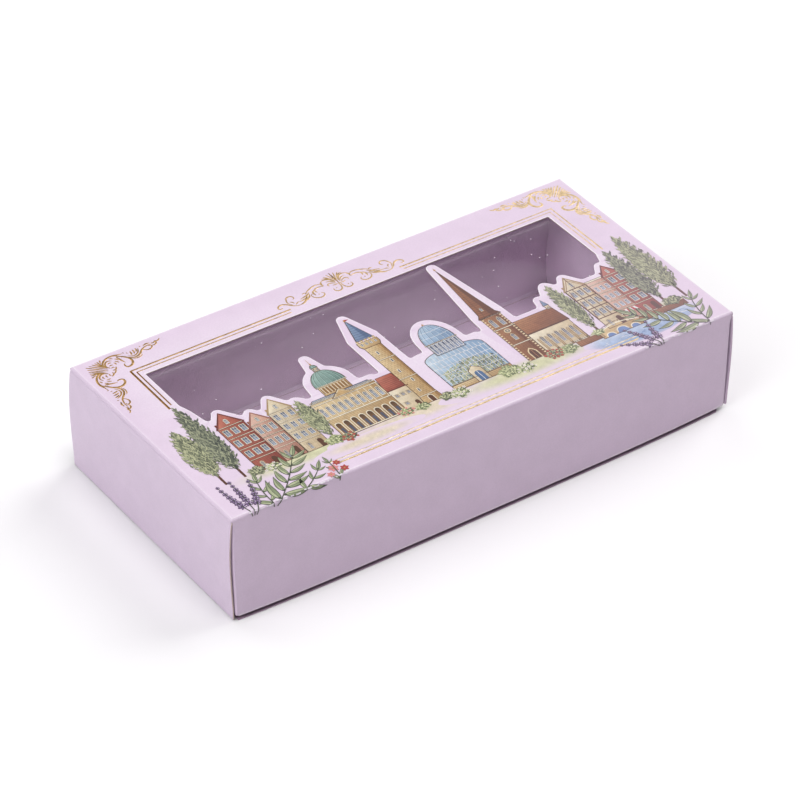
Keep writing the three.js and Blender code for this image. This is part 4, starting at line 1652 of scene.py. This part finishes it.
def watch_tower(art):
    """A round stone tower with battlements, slits and a blue cone roof."""
    x, half, eaves, tip, left, right = extent("watch_tower")
    body = half - 0.9
    body_left, body_right = x - body, x + body
    walk = eaves - 6
    art.form([(body_left - 0.7, FOOT), (body_right + 0.7, FOOT), (body_right, -34), (body_right, walk),
              (body_left, walk), (body_left, -34)], STONE, 0)
    for row in (0, 1):
        stone = blocks((0, 0, 0.9, 0.12, STONE[2], 0), (0.85, 0, 0.95, 0.55, STONE[2], 0))
        art.rows(stone, body_left + 0.2 + 0.7 * row, -39 + 1.1 * row, 5, 19, 1.45, 2.2, 2)
    for aside, y in ((-1.3, -32), (0.5, -25), (-0.6, -17.5), (1.1, -10), (-0.9, -3)):
        slit = Drawing()
        slit.area(opening("round", 0, 1.1, 2.6), CREAM[0], 0)
        slit.area(opening("round", 0.25, 0.6, 2), PANE, 1)
        art.stamp(slit, x + aside, y, 3)
    mouldings(art, body_left - 0.1, body_right + 0.1, 3, 0.5, -35, -21.5, -6.5)
    doorway(art, "round", x, 2.6, 4.6, CREAM[0], 4)
    doorway(art, "round", x, 2.0, 4.2, DOOR, 5)
    shade(art, oblong(x + 0.4 * body, FOOT, body_right, walk), STONE, 0, 0.2)
    shade(art, oblong(x + 0.72 * body, FOOT, body_right, walk), STONE, 0.3, 0.8)
    art.form([(body_left, walk - 0.4), (body_right, walk - 0.4), (right, walk + 1.4), (right, walk + 4),
              (left, walk + 4), (left, walk + 1.4)], STONE, 8)
    merlon = blocks((-0.55, 0, 0.55, 1.7, STONE[0], 0), (0.15, 0, 0.55, 1.7, STONE[1], 1))
    windows(art, merlon, left, right, walk + 3.8, 5, 9)
    windows(art, window("round", 1.0, 1.8, CREAM[0], 0), left + 0.6, right - 0.6, walk + 1.5, 4, 10)
    low = eaves - 0.8
    art.form([(left + 0.8, low), (right - 0.8, low), (x + 0.15, tip - 1.6), (x - 0.15, tip - 1.6)], SLATE, 8)
    for k in range(1, 9):
        y = low + k * 1.5
        reach = (half - 0.9) * (1 - (y - low) / (tip - eaves))
        art.line([(x - reach, y), (x, y - 0.35), (x + reach, y)], FINE_LINE, SLATE[2], 10, soft=True)
    shade(art, [(x + 1, low), (right - 0.8, low), (x + 0.1, tip - 2)], SLATE, 8)
    finial(art, x, tip - 2, tip - 0.2, 11)
    art.area([(x, tip - 0.3), (x + 2.1, tip - 0.9), (x, tip - 1.5)], ROSE[1], 11)


def glasshouse(art):
    """A palm house of blue glass: low wings, a round-roofed middle and white ribs."""
    x, half, eaves, _, left, right = extent("glasshouse")
    shoulder, sill = -20, -36.4
    swell = [(x + half * math.cos(turn), shoulder + (eaves - shoulder) * math.sin(turn) ** 0.6)
             for turn in between(0, math.pi, 16)]
    art.form([(left, FOOT), (right, FOOT)] + swell, GLASS, 0)
    plants = [(left + 1, sill), (right - 1, sill), (right - 2, -27), (x, -24), (left + 2, -28)]
    art.dabs(plants, leafy(LEAF, left, right), 1, 0.8, (2.0, 0.8), 1.4, 0.9, 41)
    shade(art, oblong(x + 0.6 * half, sill, right - 0.2, shoulder), GLASS, 0, 0.1)
    art.rows(blocks((-0.1, 0, 0.1, shoulder - sill, WHITE, 0)), left + 1, sill, 14, 1, 2, 0, 8)
    for y in (-32.4, -28.4, -24.2, shoulder):
        art.across(left, right, y, 0.22, WHITE, 9)
    for k in range(1, 14):
        rise = 0.94 * (eaves - shoulder) * math.sin(math.pi * k / 14) ** 0.6
        foot = left + 2 * k
        art.line([(foot, shoulder), (foot - 0.05 * (k - 7), shoulder + rise)], 0.2, WHITE, 8)
    art.form(oblong(left, FOOT, right, sill), STONE, 9)
    courses(art, left + 0.3, right - 0.3, FOOT, sill, 0.9, STONE[2], 11)
    mouldings(art, left, right, 10, 0.5, sill)
    _, dome_half, springing, crown, dome_left, dome_right = extent("glass_dome")
    art.form(oblong(dome_left + 0.6, shoulder + 3.2, dome_right - 0.6, springing), GLASS, 9)
    arch = window("round", 1.5, springing - shoulder - 4.2, WHITE, 0)
    windows(art, arch, dome_left + 0.8, dome_right - 0.8, shoulder + 3.8, 7, 11)
    dome_half, crown = dome_half - 0.4, crown - 1
    dome(art, x, dome_half, springing, crown, GLASS, 8, 10)
    for share in (0.35, 0.66):
        y = springing + (crown - springing) * share
        reach = dome_half * math.sqrt(1 - share ** 2)
        art.line([(x - reach, y), (x, y - 0.5), (x + reach, y)], 0.18, WHITE, 13, soft=True)
    mouldings(art, dome_left, dome_right, 12, 0.6, springing)
    finial(art, x, crown - 0.2, crown + 1.4, 13)
    art.form([(x - 3, FOOT), (x + 3, FOOT), (x + 3, -32), (x, -29.4), (x - 3, -32)], CREAM, 12)
    doorway(art, "round", x, 3.4, 6.8, GLASS[2], 14)
    art.upright(x, FOOT, -33.4, 0.22, WHITE, 15)


def nave(art):
    """A tiled church hall with buttresses, lancet windows and a small turret."""
    _, _, eaves, _, left, right = extent("nave")
    low, overhang = -25.4, right + 0.5
    art.form(oblong(left, FOOT, right, -25), CREAM, 0)
    art.form([(left, low), (overhang, low), (right - 1, eaves), (left, eaves)], SHINGLE, 1)
    tile = Drawing()
    tile.area([(0, 0), (0.5, -0.26), (1, 0), (1, 0.1), (0.5, -0.16), (0, 0.1)], SHINGLE[2], 0)
    art.rows(tile, left + 0.4, -24.6, 18, 8, 1, 1.15, 3)
    windows(art, window("lancet", 1.8, 8.2, STONE[0]), left + 1.6, right - 0.6, -36.8, 5, 3)
    buttress = Drawing()
    buttress.form([(-0.4, 0), (0.4, 0), (0.4, 9.4), (0, 10.6), (-0.4, 9.4)], STONE, 0, FINE_LINE)
    art.rows(buttress, left + 1.6, FOOT, 6, 1, (right - left - 2.2) / 5, 0, 4)
    mouldings(art, left, right, 4, 0.5, FOOT + 1)
    art.across(left, overhang, low, 0.5, SHINGLE[2], 4)
    mast, _, shoulder, top, _, _ = extent("turret")
    art.form(oblong(mast - 1, eaves - 0.6, mast + 1, shoulder), CREAM, 3)
    art.form([(mast - 1.3, shoulder), (mast + 1.3, shoulder), (mast, top)], SLATE, 3)
    windows(art, window("round", 0.7, 1.6, STONE[0], 0), mast - 0.8, mast + 0.8, shoulder - 2.6, 1, 6)


def steeple(art):
    """A brown belfry under a tall shingled spire."""
    x, half, eaves, tip, left, right = extent("steeple")
    body = half - 0.7
    body_left, body_right = x - body, x + body
    art.form(oblong(body_left, FOOT, body_right, eaves), SHINGLE, 6)
    courses(art, body_left + 0.3, body_right - 0.3, FOOT, eaves, 0.8, SHINGLE[2], 8)
    for side in (-1, 1):
        art.rows(blocks((-0.5, 0, 0.5, 0.8, STONE[0], 0)), x + side * (body - 0.4), FOOT, 1, 21, 0, 1.6, 9)
    mouldings(art, body_left - 0.3, body_right + 0.3, 9, 0.6, -28, -16, eaves - 0.4)
    windows(art, window("lancet", 2.1, 6.4, STONE[0]), body_left + 0.8, body_right - 0.8, -14.4, 2, 10)
    windows(art, window("lancet", 1.9, 5, STONE[0]), x - 2, x + 2, -25.4, 1, 10)
    rose_y = -18.4
    rose = ring(x, rose_y, 1.5, 1.5, 16)
    art.area(rose, STONE[0], 10)
    art.area([mixed((x, rose_y), point, 0.72) for point in rose], PANE, 11)
    for turn in between(0, math.pi, 4)[:-1]:
        out, up = 1.3 * math.cos(turn), 1.3 * math.sin(turn)
        art.line([(x - out, rose_y - up), (x + out, rose_y + up)], 0.16, STONE[0], 12)
    doorway(art, "lancet", x, 4, 7.6, STONE[0], 10)
    doorway(art, "lancet", x, 3, 6.8, DOOR, 11)
    art.upright(x, FOOT, FOOT + 6.4, 0.2, SHINGLE[0], 12)
    shade(art, oblong(x + 0.5 * body, FOOT, body_right, eaves), SHINGLE, 6)
    low, bend, waist = eaves - 0.4, eaves + 2, half - 1.5
    art.form([(left, low), (x - waist, bend), (x, tip - 1.6), (x + waist, bend), (right, low)], SHINGLE, 9)
    for share in (-0.45, 0.3):
        art.line([(x + share * half, low), (x + share * waist, bend), (x, tip - 2)], FINE_LINE, OUTLINE, 11)
    shade(art, [(x + 0.3 * half, eaves - 0.3), (right, eaves - 0.3), (x + waist, bend), (x, tip - 1.8),
                (x + 0.3 * waist, bend)], SHINGLE, 9, 0.8)
    for k in range(25):
        y = eaves + 0.8 + 1.4 * k
        reach = waist * (tip - 1.6 - y) / (tip - eaves - 3.6) + (0.8 if k == 0 else 0)
        art.line([(x - reach, y), (x - 0.4 * reach, y - 0.3), (x + 0.3 * reach, y - 0.3), (x + reach, y)],
                 FINE_LINE, SHINGLE[2], 12)
    windows(art, window("lancet", 1.2, 2.6, STONE[0], 0), x - 1.6, x + 0.8, eaves + 4, 1, 13)
    finial(art, x, tip - 2.4, tip - 0.2, 13)


def corner_shop(art):
    """A plastered shop with a cornice and a striped awning."""
    x, _, eaves, _, left, right = extent("corner_shop")
    art.form(oblong(left, FOOT, right, eaves), PLASTER, 0)
    windows(art, window("square", 1.6, 3.4, WHITE), left + 0.4, right - 0.4, -30.6, 3, 2, 3, 6.6)
    mouldings(art, left, right, 3, 0.4, -32, -25.4, -18.8, -12.2)
    mouldings(art, left - 0.4, right + 0.4, 4, 1, eaves - 0.6)
    windows(art, window("square", 3, 4.6, SHINGLE[2], 2), left + 0.3, x + 1.2, FOOT + 0.8, 1, 3)
    art.block(x + 1.7, FOOT, x + 3.5, FOOT + 5.4, DOOR, 3)
    tops, lows = between(left + 0.3, right - 0.3, 8), between(left - 0.5, right + 0.5, 8)
    for k in range(8):
        stripe = [(lows[k], -35.2), (lows[k + 1], -35.2), (tops[k + 1], -33), (tops[k], -33)]
        art.area(stripe, ROSE[1] if k % 2 else WHITE, 6)
    shade(art, oblong(right - 1.4, FOOT, right, eaves), PLASTER, 0)


def quay(art):
    """The water at the right, with ripples, its walls and a stone footbridge."""
    shore = [(60, -41.2), (72, -42.4), (86, -42), (108, -40), (111, -44), (104, -49.6), (92, -52.6),
             (78, -53.4), (66, -50.6), (58, -46)]
    middle = (84, -46.5)

    def shallows(x, y):
        edge = 1.15 - math.hypot((x - middle[0]) / 27, (y - middle[1]) / 7.2)
        return (*mixed(WATER[0], WATER[1], smooth((-42 - y) / 9))[:3], smooth(2.6 * edge))

    art.area([mixed(middle, point, 1.12) for point in shore], shallows, 0, 1.1)
    drawn = random.Random(5)
    for _ in range(54):
        x, y = drawn.uniform(60, 106), drawn.uniform(-52, -42)
        if math.hypot((x - middle[0]) / 24, (y - middle[1]) / 6) < 0.92:
            half = drawn.uniform(1.2, 4.2) / 2
            ink = WATER[2] if drawn.random() < 0.6 else WHITE
            art.line([(x - half, y), (x, y + 0.22), (x + half, y)], 0.3, ink, 1, True, (0.2, 0.2))
    for left, right in ((55, 67), (86, 109)):
        art.form(oblong(left, -43.6, right, -39.4), SHINGLE, 2)
        courses(art, left + 0.2, right - 0.2, -43.6, -40, 0.8, SHINGLE[2], 4)
        mouldings(art, left, right, 4, 0.7, -39.7)
    deck = [(66 + 20 * t, -40.4 + 2.4 * math.sin(math.pi * t)) for t in between(0, 1, 12)]
    art.form([(66, -44.6), (86, -44.6)] + deck[::-1], STONE, 3)
    for x, wide, high in ((70, 4.2, 2.6), (76, 5.4, 3.7), (82, 4.2, 2.6)):
        arch = shifted(opening("round", 0, wide, high), x, -44.8)
        art.area(arch, WATER[2], 5)
        art.line(arch[2:], 0.5, CREAM[0], 6)
        art.line(arch[2:], FINE_LINE, OUTLINE, 7)
    art.line(deck, 0.7, CREAM[0], 5, soft=True)
    art.line(shifted(deck, 0, 1.3), 0.26, OUTLINE, 6, soft=True)
    for x, y in deck[1:-1]:
        art.stamp(blocks((-0.1, 0, 0.1, 1.3, OUTLINE, 0)), x, y, 6)


def fading(x, y, wide, high, ink):
    """Colours of a wash that thins out towards the edge of an ellipse."""
    return lambda px, py: (*ink[:3], 0.95 * smooth(1.5 * (1 - math.hypot((px - x) / wide, (py - y) / high))))


def ground(art):
    """Soft washes of lawn and sand under the town."""
    washes = ((-70, -41, 44, 5.5, LAWN), (-20, -42.5, 46, 5.5, SAND), (30, -43, 44, 6, LAWN),
              (-48, -45.5, 26, 3.6, SAND), (96, -40, 20, 4, LAWN))
    for k, wash in enumerate(washes):
        art.area(ring(*wash[:4], 40), fading(*wash), 0.2 * k, 1.6)


# The ground, the quay and the buildings from left to right: each one's first level, its maker and what
# that takes
TOWN = (
    (0, ground),
    (1.25, quay),
    (4, gabled_house, "tall_house", BRICK, 4, 3),
    (4.5, gabled_house, "small_house", PLASTER, 3, 3),
    (4, gabled_house, "wide_house", CREAM, 4, 3),
    (5, market_hall),
    (3, cottage),
    (8, watch_tower),
    (3, glasshouse),
    (4, nave),
    (4, steeple),
    (4, gabled_house, "timber_house", CREAM, 4, 3, True),
    (4.5, corner_shop),
    (4, gabled_house, "brick_house", BRICK, 4, 2),
)


def make_town(material):
    art = Drawing()
    for base, maker, *details in TOWN:
        art.base = base
        maker(art, *details)
    return art.on_card("printed_town", material)


# Printed trees, sprays and flowers, and dust

def leafy(tones, left, right):
    """Colours of dabs of leaf by their tone, lighter on the left."""
    light, middle, dark = tones

    def tint(x, y, tone):
        t = 0.8 * tone + 0.24 * (right - x) / (right - left)
        return mixed(dark, middle, t / 0.42) if t < 0.42 else mixed(middle, light, min(1, (t - 0.42) / 0.4))
    return tint


def crown(x, half, low, widest, tip, seed):
    """Outline of a slim tree's crown, with tufts that stand out of it and point upwards."""
    outline = []
    for side in (1, -1):
        rise = []
        for k, t in enumerate(between(0, 1, 34)[1:-1]):
            y = low + (tip - low) * t
            spread = (tip - y) / (tip - widest) if y > widest else (y - low) / (widest - low)
            reach = half * math.sin(math.pi / 2 * min(1, spread) ** 0.8) ** 1.1
            tuft = 0.16 * half * math.sin(2.1 * k + seed * side) + (0.5 if k % 3 == 0 else -0.25)
            rise.append((x + side * max(0.3, reach + tuft), y + (0.8 if k % 3 == 0 else 0)))
        outline += [(x, low)] + rise if side > 0 else [(x, tip)] + rise[::-1]
    return outline


def tree(art, x, half, low, widest, tip, tones, seed, level=14):
    """A tree in leaf: its trunk, a dark mass and dabs of leaf that point up and outwards."""
    art.area(oblong(x - 0.5, FOOT + 0.6, x + 0.5, low + 3), SHINGLE[2], level)
    outline = crown(x, half, low, widest, tip, seed)
    art.area(outline, washed((tones[1], tones[2], tones[2]), x - half, x + half, low, tip), level)
    art.dabs(outline, leafy(tones, x - half, x + half), level + 1, 0.78, (2.5, 0.72), 1.57, 0.5, seed)
    for side in (1, -1):
        art.dabs(crown(x + 0.5 * side * half, 0.62 * half, low + 2, widest, tip - 6, seed + 3),
                 leafy(tones, x - half, x + half), level + 5, 1.7, (3, 0.7), 1.57 - 0.5 * side, 0.3, seed + 9)


def bush(art, x, y, wide, high, tones, seed, level=16, blossom=None):
    """A rounded bush, darker below, with blossom if it has any."""
    outline = []
    for turn in between(0, 2 * math.pi, 48)[:-1]:
        rough = 1 + 0.12 * math.sin(5 * turn + seed) + 0.08 * math.sin(11 * turn + 2 * seed)
        outline.append((x + wide * rough * math.cos(turn), y + high * rough * math.sin(turn)))
    art.area(outline, washed((tones[1], tones[2], tones[2]), x - wide, x + wide, y - high, y + high), level)
    art.dabs(outline, leafy(tones, x - wide, x + wide), level + 1, 0.85, (1.3, 0.8), 1.2, 2.4, seed)
    lit = [mixed((x - 0.15 * wide, y + 0.3 * high), point, 0.62) for point in outline]

    def sunny(x, y, tone):
        return mixed(tones[1], tones[0], 0.5 + tone)

    art.dabs(lit, sunny, level + 6, 1.1, (1.3, 0.9), 0.9, 2.4, seed + 5)
    if blossom:
        art.dabs(outline, None, level + 9, 1.7, None, 0, 3, seed + 1, shape=flower(*blossom))


def spoke(turn, reach):
    """The point at a distance from the origin along a heading in radians."""
    return reach * math.cos(turn), reach * math.sin(turn)


def flower(size, petals, heart, count=5):
    """A small flower seen from above."""
    shape = Drawing()
    for k in range(count):
        turn = 2 * math.pi * k / count
        near, far = spoke(turn - 0.5, 0.62 * size), spoke(turn + 0.5, 0.62 * size)
        shape.area([(0, 0), near, spoke(turn, size), far], petals, 0)
    shape.area(ring(0, 0, 0.22 * size, 0.22 * size, 6), heart, 1)
    return shape


def long_leaf(length, wide, bend, tones=SPRAY):
    """A leaf along X from its foot at the origin: dark edge, two halves of unlike green and a rib."""
    light, middle, dark = tones

    def side(sign, share):
        points = []
        for t in between(0, 1, 9):
            swell = math.sin(math.pi * t ** 0.72) ** 1.05
            points.append((length * t, bend * math.sin(math.pi * t) + sign * share * wide / 2 * swell))
        return points

    shape = Drawing()
    rib = side(0, 0)
    shape.area(side(-1, 1) + side(1, 1)[-2:0:-1], dark, 0)
    for sign, near, far in ((-1, middle, mixed(middle, dark, 0.4)), (1, light, middle)):
        outline = rib[1:-1] + side(sign, 0.78)[-2:0:-1]
        shape.area(outline, lambda x, y, near=near, far=far: mixed(near, far, x / length), 1)
    shape.line(rib, 0.2, dark, 2, ends=(1, 0.4))
    return shape.flat("leaf")


def arc_path(start, heading, length, bend, count=24):
    """A path of points that starts out along a heading, in degrees, and turns by a bend in all."""
    x, y = start
    path = [start]
    for k in range(count):
        turn = math.radians(heading + bend * (k + 0.5) / count)
        x += length / count * math.cos(turn)
        y += length / count * math.sin(turn)
        path.append((x, y))
    return path


def leaf_spray(art, start, heading, length, bend, size, seed, level, tones=SPRAY):
    """A stem with long leaves on both sides and one at its tip."""
    stem = arc_path(start, heading, length, bend)
    for side, first in ((1, 2), (-1, 4)):
        leaf = long_leaf(size, 0.26 * size, 0.06 * size * side, tones)
        art.leaves(stem[first:-3], leaf, level + (side > 0), 4.4, 0.72 * side, 1, 0.4, seed + side)
        remove(leaf)
    end = long_leaf(0.7 * size, 0.2 * size, 0, tones)
    art.leaves(stem[-3:-1], end, level + 2, 99, 0, 1, 0, seed)
    remove(end)
    art.line(stem, 0.46, tones[2], level + 4, soft=True, ends=(1, 0.3))


def lavender(art, start, heading, length, bend, seed, level):
    """A lavender stem with whorls of small round florets, narrower towards its tip."""
    stem = arc_path(start, heading, length, bend)
    art.line(stem, 0.4, SPRAY[2], level, soft=True, ends=(1, 0.5))
    light, middle, dark = LAVENDER
    floret = Drawing()
    for share, rise in ((1, 0), (0.62, 1)):
        for k, lean in enumerate((-75, -25, 25, 75)):
            turn = Matrix.Rotation(math.radians(lean), 2)
            petal = [tuple(turn @ Vector(point)) for point in ring(0.95, 0, 0.75 * share, 0.42 * share, 7)]
            floret.area(petal, (light, middle)[k % 2] if rise else dark, rise + 0.2 * k)
    piece = floret.flat("floret")
    for side, rise in ((1.1, 1), (-1.1, 3), (0.2, 5)):
        art.leaves(stem[7:-1], piece, level + rise, 2.3, side, 1.1, 0.55, seed + rise)
    remove(piece)


def fan_of_lavender(art, x, y, level, stems):
    for k, stem in enumerate(stems):
        lavender(art, (x + 0.9 * k, y), *stem, 70 + 5 * k, level + 9 * k)


def worn_crease(art, left, right, level):
    """Flecks along the front crease where the fold has broken the ink."""
    drawn = random.Random(11)
    x = left
    while x < right:
        long = drawn.uniform(0.5, 2.2)
        y = CREASE - HALF_WIDTH - drawn.uniform(0.5, 1.1)
        art.line([(x, y), (x + long / 2, y - 0.1), (x + long, y)], drawn.uniform(0.3, 0.6), LILAC_WORN_AND_HIGHLIGHT, level)
        x += long + drawn.uniform(0.3, 2.4)


# Trees at a motif: how much wider they are, the foot and widest height of the crown, tones and seed
MOTIF_TREES = {
    "poplar": (0.4, -34, -20, PINE, 3),
    "hedge_tree": (0, -36, -24, LEAF, 5),
    "garden_tree": (0, -36, -20, LEAF, 6),
    "quay_tree": (0.5, -34, -19, PINE, 7),
}

# Trees past the motifs: middle and half width, the foot, widest height and tip of the crown, tones, seed
CORNER_TREES = ((-109.6, 4.6, -33, -20, 0, LEAF, 4), (111.4, 4.8, -32, -18, 11.5, LEAF, 8))

# Bushes: middle, half width and height, tones and blossom, which is its size, petals and heart
WHITE_BLOSSOM = (0.75, BLOSSOM, GILT)
ROSE_BLOSSOM = (0.8, ROSE[1], GILT)
PALE_BLOSSOM = (0.7, ROSE[0], GILT)
BUSHES = (
    (-95.5, -38.5, 3.4, 2.6, LEAF, None), (-89, -39.8, 3.2, 2.2, HEDGE, WHITE_BLOSSOM),
    (-60, -39, 3.8, 2.6, HEDGE, None), (-54, -40.4, 3, 2.2, LEAF, ROSE_BLOSSOM),
    (-27, -39.8, 3, 2.2, HEDGE, PALE_BLOSSOM), (-19.6, -40.6, 3, 2, HEDGE, None),
    (-7.6, -40.4, 3.4, 2.4, LEAF, None), (-2.4, -41.4, 4, 3, HEDGE, WHITE_BLOSSOM),
    (22, -40.6, 4.6, 3.4, HEDGE, None), (28.4, -42.4, 4, 2.7, HEDGE, WHITE_BLOSSOM),
    (43.4, -41.2, 3.6, 2.6, LEAF, ROSE_BLOSSOM), (50, -42, 4, 2.6, HEDGE, None),
    (66.5, -39.4, 2.6, 1.8, HEDGE, None), (104.5, -38.4, 4.2, 2.6, LEAF, None),
)

# Sprays of leaves: foot, heading in degrees, length, bend, leaf length, seed and level
SPRAYS = (
    ((-99.4, -60.2), 40, 32, 16, 12, 60, 24),
    ((-100.8, -60), 96, 17, -24, 8, 61, 22),
    ((-87, -58.8), 26, 15, 20, 8, 64, 23),
    ((-71, -60.4), 80, 12, 10, 5.5, 66, 27),
    ((106.5, -57.9), 150, 32, -30, 11.5, 62, 24),
    ((108.5, -59.8), 92, 20, -26, 8.5, 63, 22),
)

# Red flowers at the left: middle and size
BLOOMS = ((-70.5, -53.5, 2.4), (-66.8, -55.6, 2), (-73.4, -56.4, 1.8), (-67.6, -51.2, 1.7))

# Fans of lavender: foot, level, and each stem's heading in degrees, length and bend
LAVENDER_FANS = (
    (-110.5, -60.2, 26, ((106, 22, -14), (84, 22, 6), (60, 20, 20))),
    (83, -59.8, 28, ((146, 17, 10), (116, 18, 4), (92, 16, -16))),
)

# The stretches along X where the front crease is worn, and their level
WORN_STRETCHES = ((-112, -66), (76, 110))
WORN_LEVEL = 44


def make_greenery(material):
    art = Drawing()
    for name, (wider, low, widest, tones, seed) in MOTIF_TREES.items():
        x, half, _, tip, _, _ = extent(name)
        tree(art, x, half + wider, low, widest, tip, tones, seed)
    for details in CORNER_TREES:
        tree(art, *details, 15.5)
    for k, (*sizes, blossom) in enumerate(BUSHES):
        bush(art, *sizes, 20 + 3 * k, 16 + 0.3 * (k % 2), blossom)
    for spray in SPRAYS:
        leaf_spray(art, *spray)
    for k, (x, y, size) in enumerate(BLOOMS):
        art.stamp(flower(size, ROSE[k % 2], GILT, 6), x, y, 30 + k)
    for fan in LAVENDER_FANS:
        fan_of_lavender(art, *fan)
    for stretch in WORN_STRETCHES:
        worn_crease(art, *stretch, WORN_LEVEL)
    return art.on_card("printed_greenery", material)


def make_dust(material):
    """A few specks of dust on the film."""
    art = Drawing()
    drawn = random.Random(DUST_SEED)
    for _ in range(DUST_SPECKS):
        x, y = drawn.uniform(WINDOW_LEFT + 2, WINDOW_RIGHT - 2), drawn.uniform(-8, WINDOW_BACK - 2)
        size, turn = drawn.uniform(*DUST_SIZES), drawn.uniform(0, math.pi)
        corners = [turn + k for k in (0, 1.6, 3.1, 4.7)]
        art.area([(x + size * math.cos(t), y + size * 0.8 * math.sin(t)) for t in corners], WHITE, 0)
    piece = art.flat("film_dust")
    for vertex in piece.data.vertices:
        rise = 0.02 if vertex.co.z > 0 else 0
        vertex.co = Vector((vertex.co.x, vertex.co.y, film_high.z + rise)) * MM
    piece.data.materials.append(material)
    return piece


# Studio

# The camera: its place and how far it sees in metres, its angles in degrees, its lens and sensor
CAMERA_PLACE = (-0.74392, -1.05084, 0.98412)
CAMERA_AZIMUTH = -35.22
CAMERA_ELEVATION = 36.87
CAMERA_ROLL = 0.7213
CAMERA_LENS = 180
CAMERA_SENSOR = 36
CAMERA_FAR = 20

# The floor's reach and how far it lies under the box, in metres, and the room round it
FLOOR_REACH = 3
FLOOR_DROP = 0.0002
ROOM = (1, 0.99, 1, 1)
ROOM_STRENGTH = 0.14

# The lamps: heading, power, width in degrees and colour
LAMPS = {
    "front": ((-0.05, 0.28, -1), 1.17, 25, (1, 0.965, 0.985)),
    "low_left": ((0.95, -0.03, -0.24), 1.02, 60, (0.975, 0.985, 1.05)),
    "high_left": ((0.85, 0.1, -0.9), 0.97, 40, (1, 0.99, 1)),
    "right": ((-1, -0.1, -1), 1.74, 40, (1, 1, 0.99)),
    "back": ((0.1, -1, -1.1), 0.66, 40, (1, 1, 1)),
}


def make_camera():
    """A long lens from the left front, looking down on the box."""
    data = bpy.data.cameras.new("camera")
    data.lens = CAMERA_LENS
    data.sensor_width = CAMERA_SENSOR
    data.clip_end = CAMERA_FAR
    camera = new_object("camera", data)
    turn = Euler((math.radians(90 - CAMERA_ELEVATION), 0, math.radians(CAMERA_AZIMUTH)))
    roll = Matrix.Rotation(math.radians(CAMERA_ROLL), 4, "Z")
    camera.matrix_world = Matrix.Translation(CAMERA_PLACE) @ turn.to_matrix().to_4x4() @ roll
    bpy.context.scene.camera = camera


def make_floor(material):
    sides = oblong(-FLOOR_REACH, -FLOOR_REACH, FLOOR_REACH, FLOOR_REACH)
    mesh = built("floor", [(x, y, -FLOOR_DROP) for x, y in sides], [], [(0, 1, 2, 3)])
    mesh.materials.append(material)
    new_object("floor", mesh)


def lamp(name, heading, power, angle, colour):
    """A soft lamp far away, shining along a heading, as wide as its angle in degrees."""
    data = bpy.data.lights.new(name, "SUN")
    data.energy = power
    data.color = colour
    data.angle = math.radians(angle)
    light = new_object(name, data)
    light.rotation_euler = Vector(heading).to_track_quat("-Z", "Y").to_euler()


def make_light():
    """A dim white room with soft lamps high in front, at the left, at the right and at the back."""
    world = bpy.data.worlds.new("studio")
    world.use_nodes = True
    background = world.node_tree.nodes["Background"]
    background.inputs["Color"].default_value = ROOM
    background.inputs["Strength"].default_value = ROOM_STRENGTH
    bpy.context.scene.world = world
    for name, details in LAMPS.items():
        lamp(name, *details)


def make_studio():
    make_camera()
    make_floor(matt("pale_floor", FLOOR, 60, 3, 0.99, 0.85))
    make_light()
    view = bpy.context.scene.view_settings
    view.view_transform = "Standard"
    view.look = "None"


# Assembly

def carried(piece, body, slot, *nodes):
    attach(piece, body)
    if nodes:
        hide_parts(*nodes)


make_studio()
lilac_card = printed_card("lilac_card", LILAC, LILAC_WORN_AND_HIGHLIGHT, LILAC_FRONT_SHADE, 1, *FRONT_SHADE_END)
# the tray's card, painted paler than the lid's lilac inside, with painted light at its right end
inside_card = printed_card("inside_card", LILAC_INSIDE_LIT, LILAC_WORN_AND_HIGHLIGHT, INSIDE_PAINTED_LIGHT, 0, *INSIDE_LIGHT_END)
raw_board = cut_board("raw_board")
carried(make_lid(lilac_card, raw_board), "lid", "lid_card", "lid")
carried(make_tray(inside_card, raw_board), "tray", "tray_card", "tray")
# the base card, its dark colour painted shade
deep_card = printed_card("deep_card", LILAC_PAINTED_SHADE, LILAC_PAINTED_SHADE, LILAC_PAINTED_SHADE, 0, *INSIDE_LIGHT_END)
carried(make_base_card(deep_card), "tray", "tray_card")
carried(make_film(clear_film("window_film_clear")), "lid", "clear_film", "window_film")
ink = watercolour_ink("watercolour_ink")
carried(make_town(ink), "lid", "lid_card")
carried(make_greenery(ink), "lid", "lid_card")
carried(make_gold(gold_foil("gold_foil")), "lid", "lid_card")
carried(make_dust(matt("pale_dust", DUST, 3, 2, 0.7, 0.9)), "lid", "clear_film")
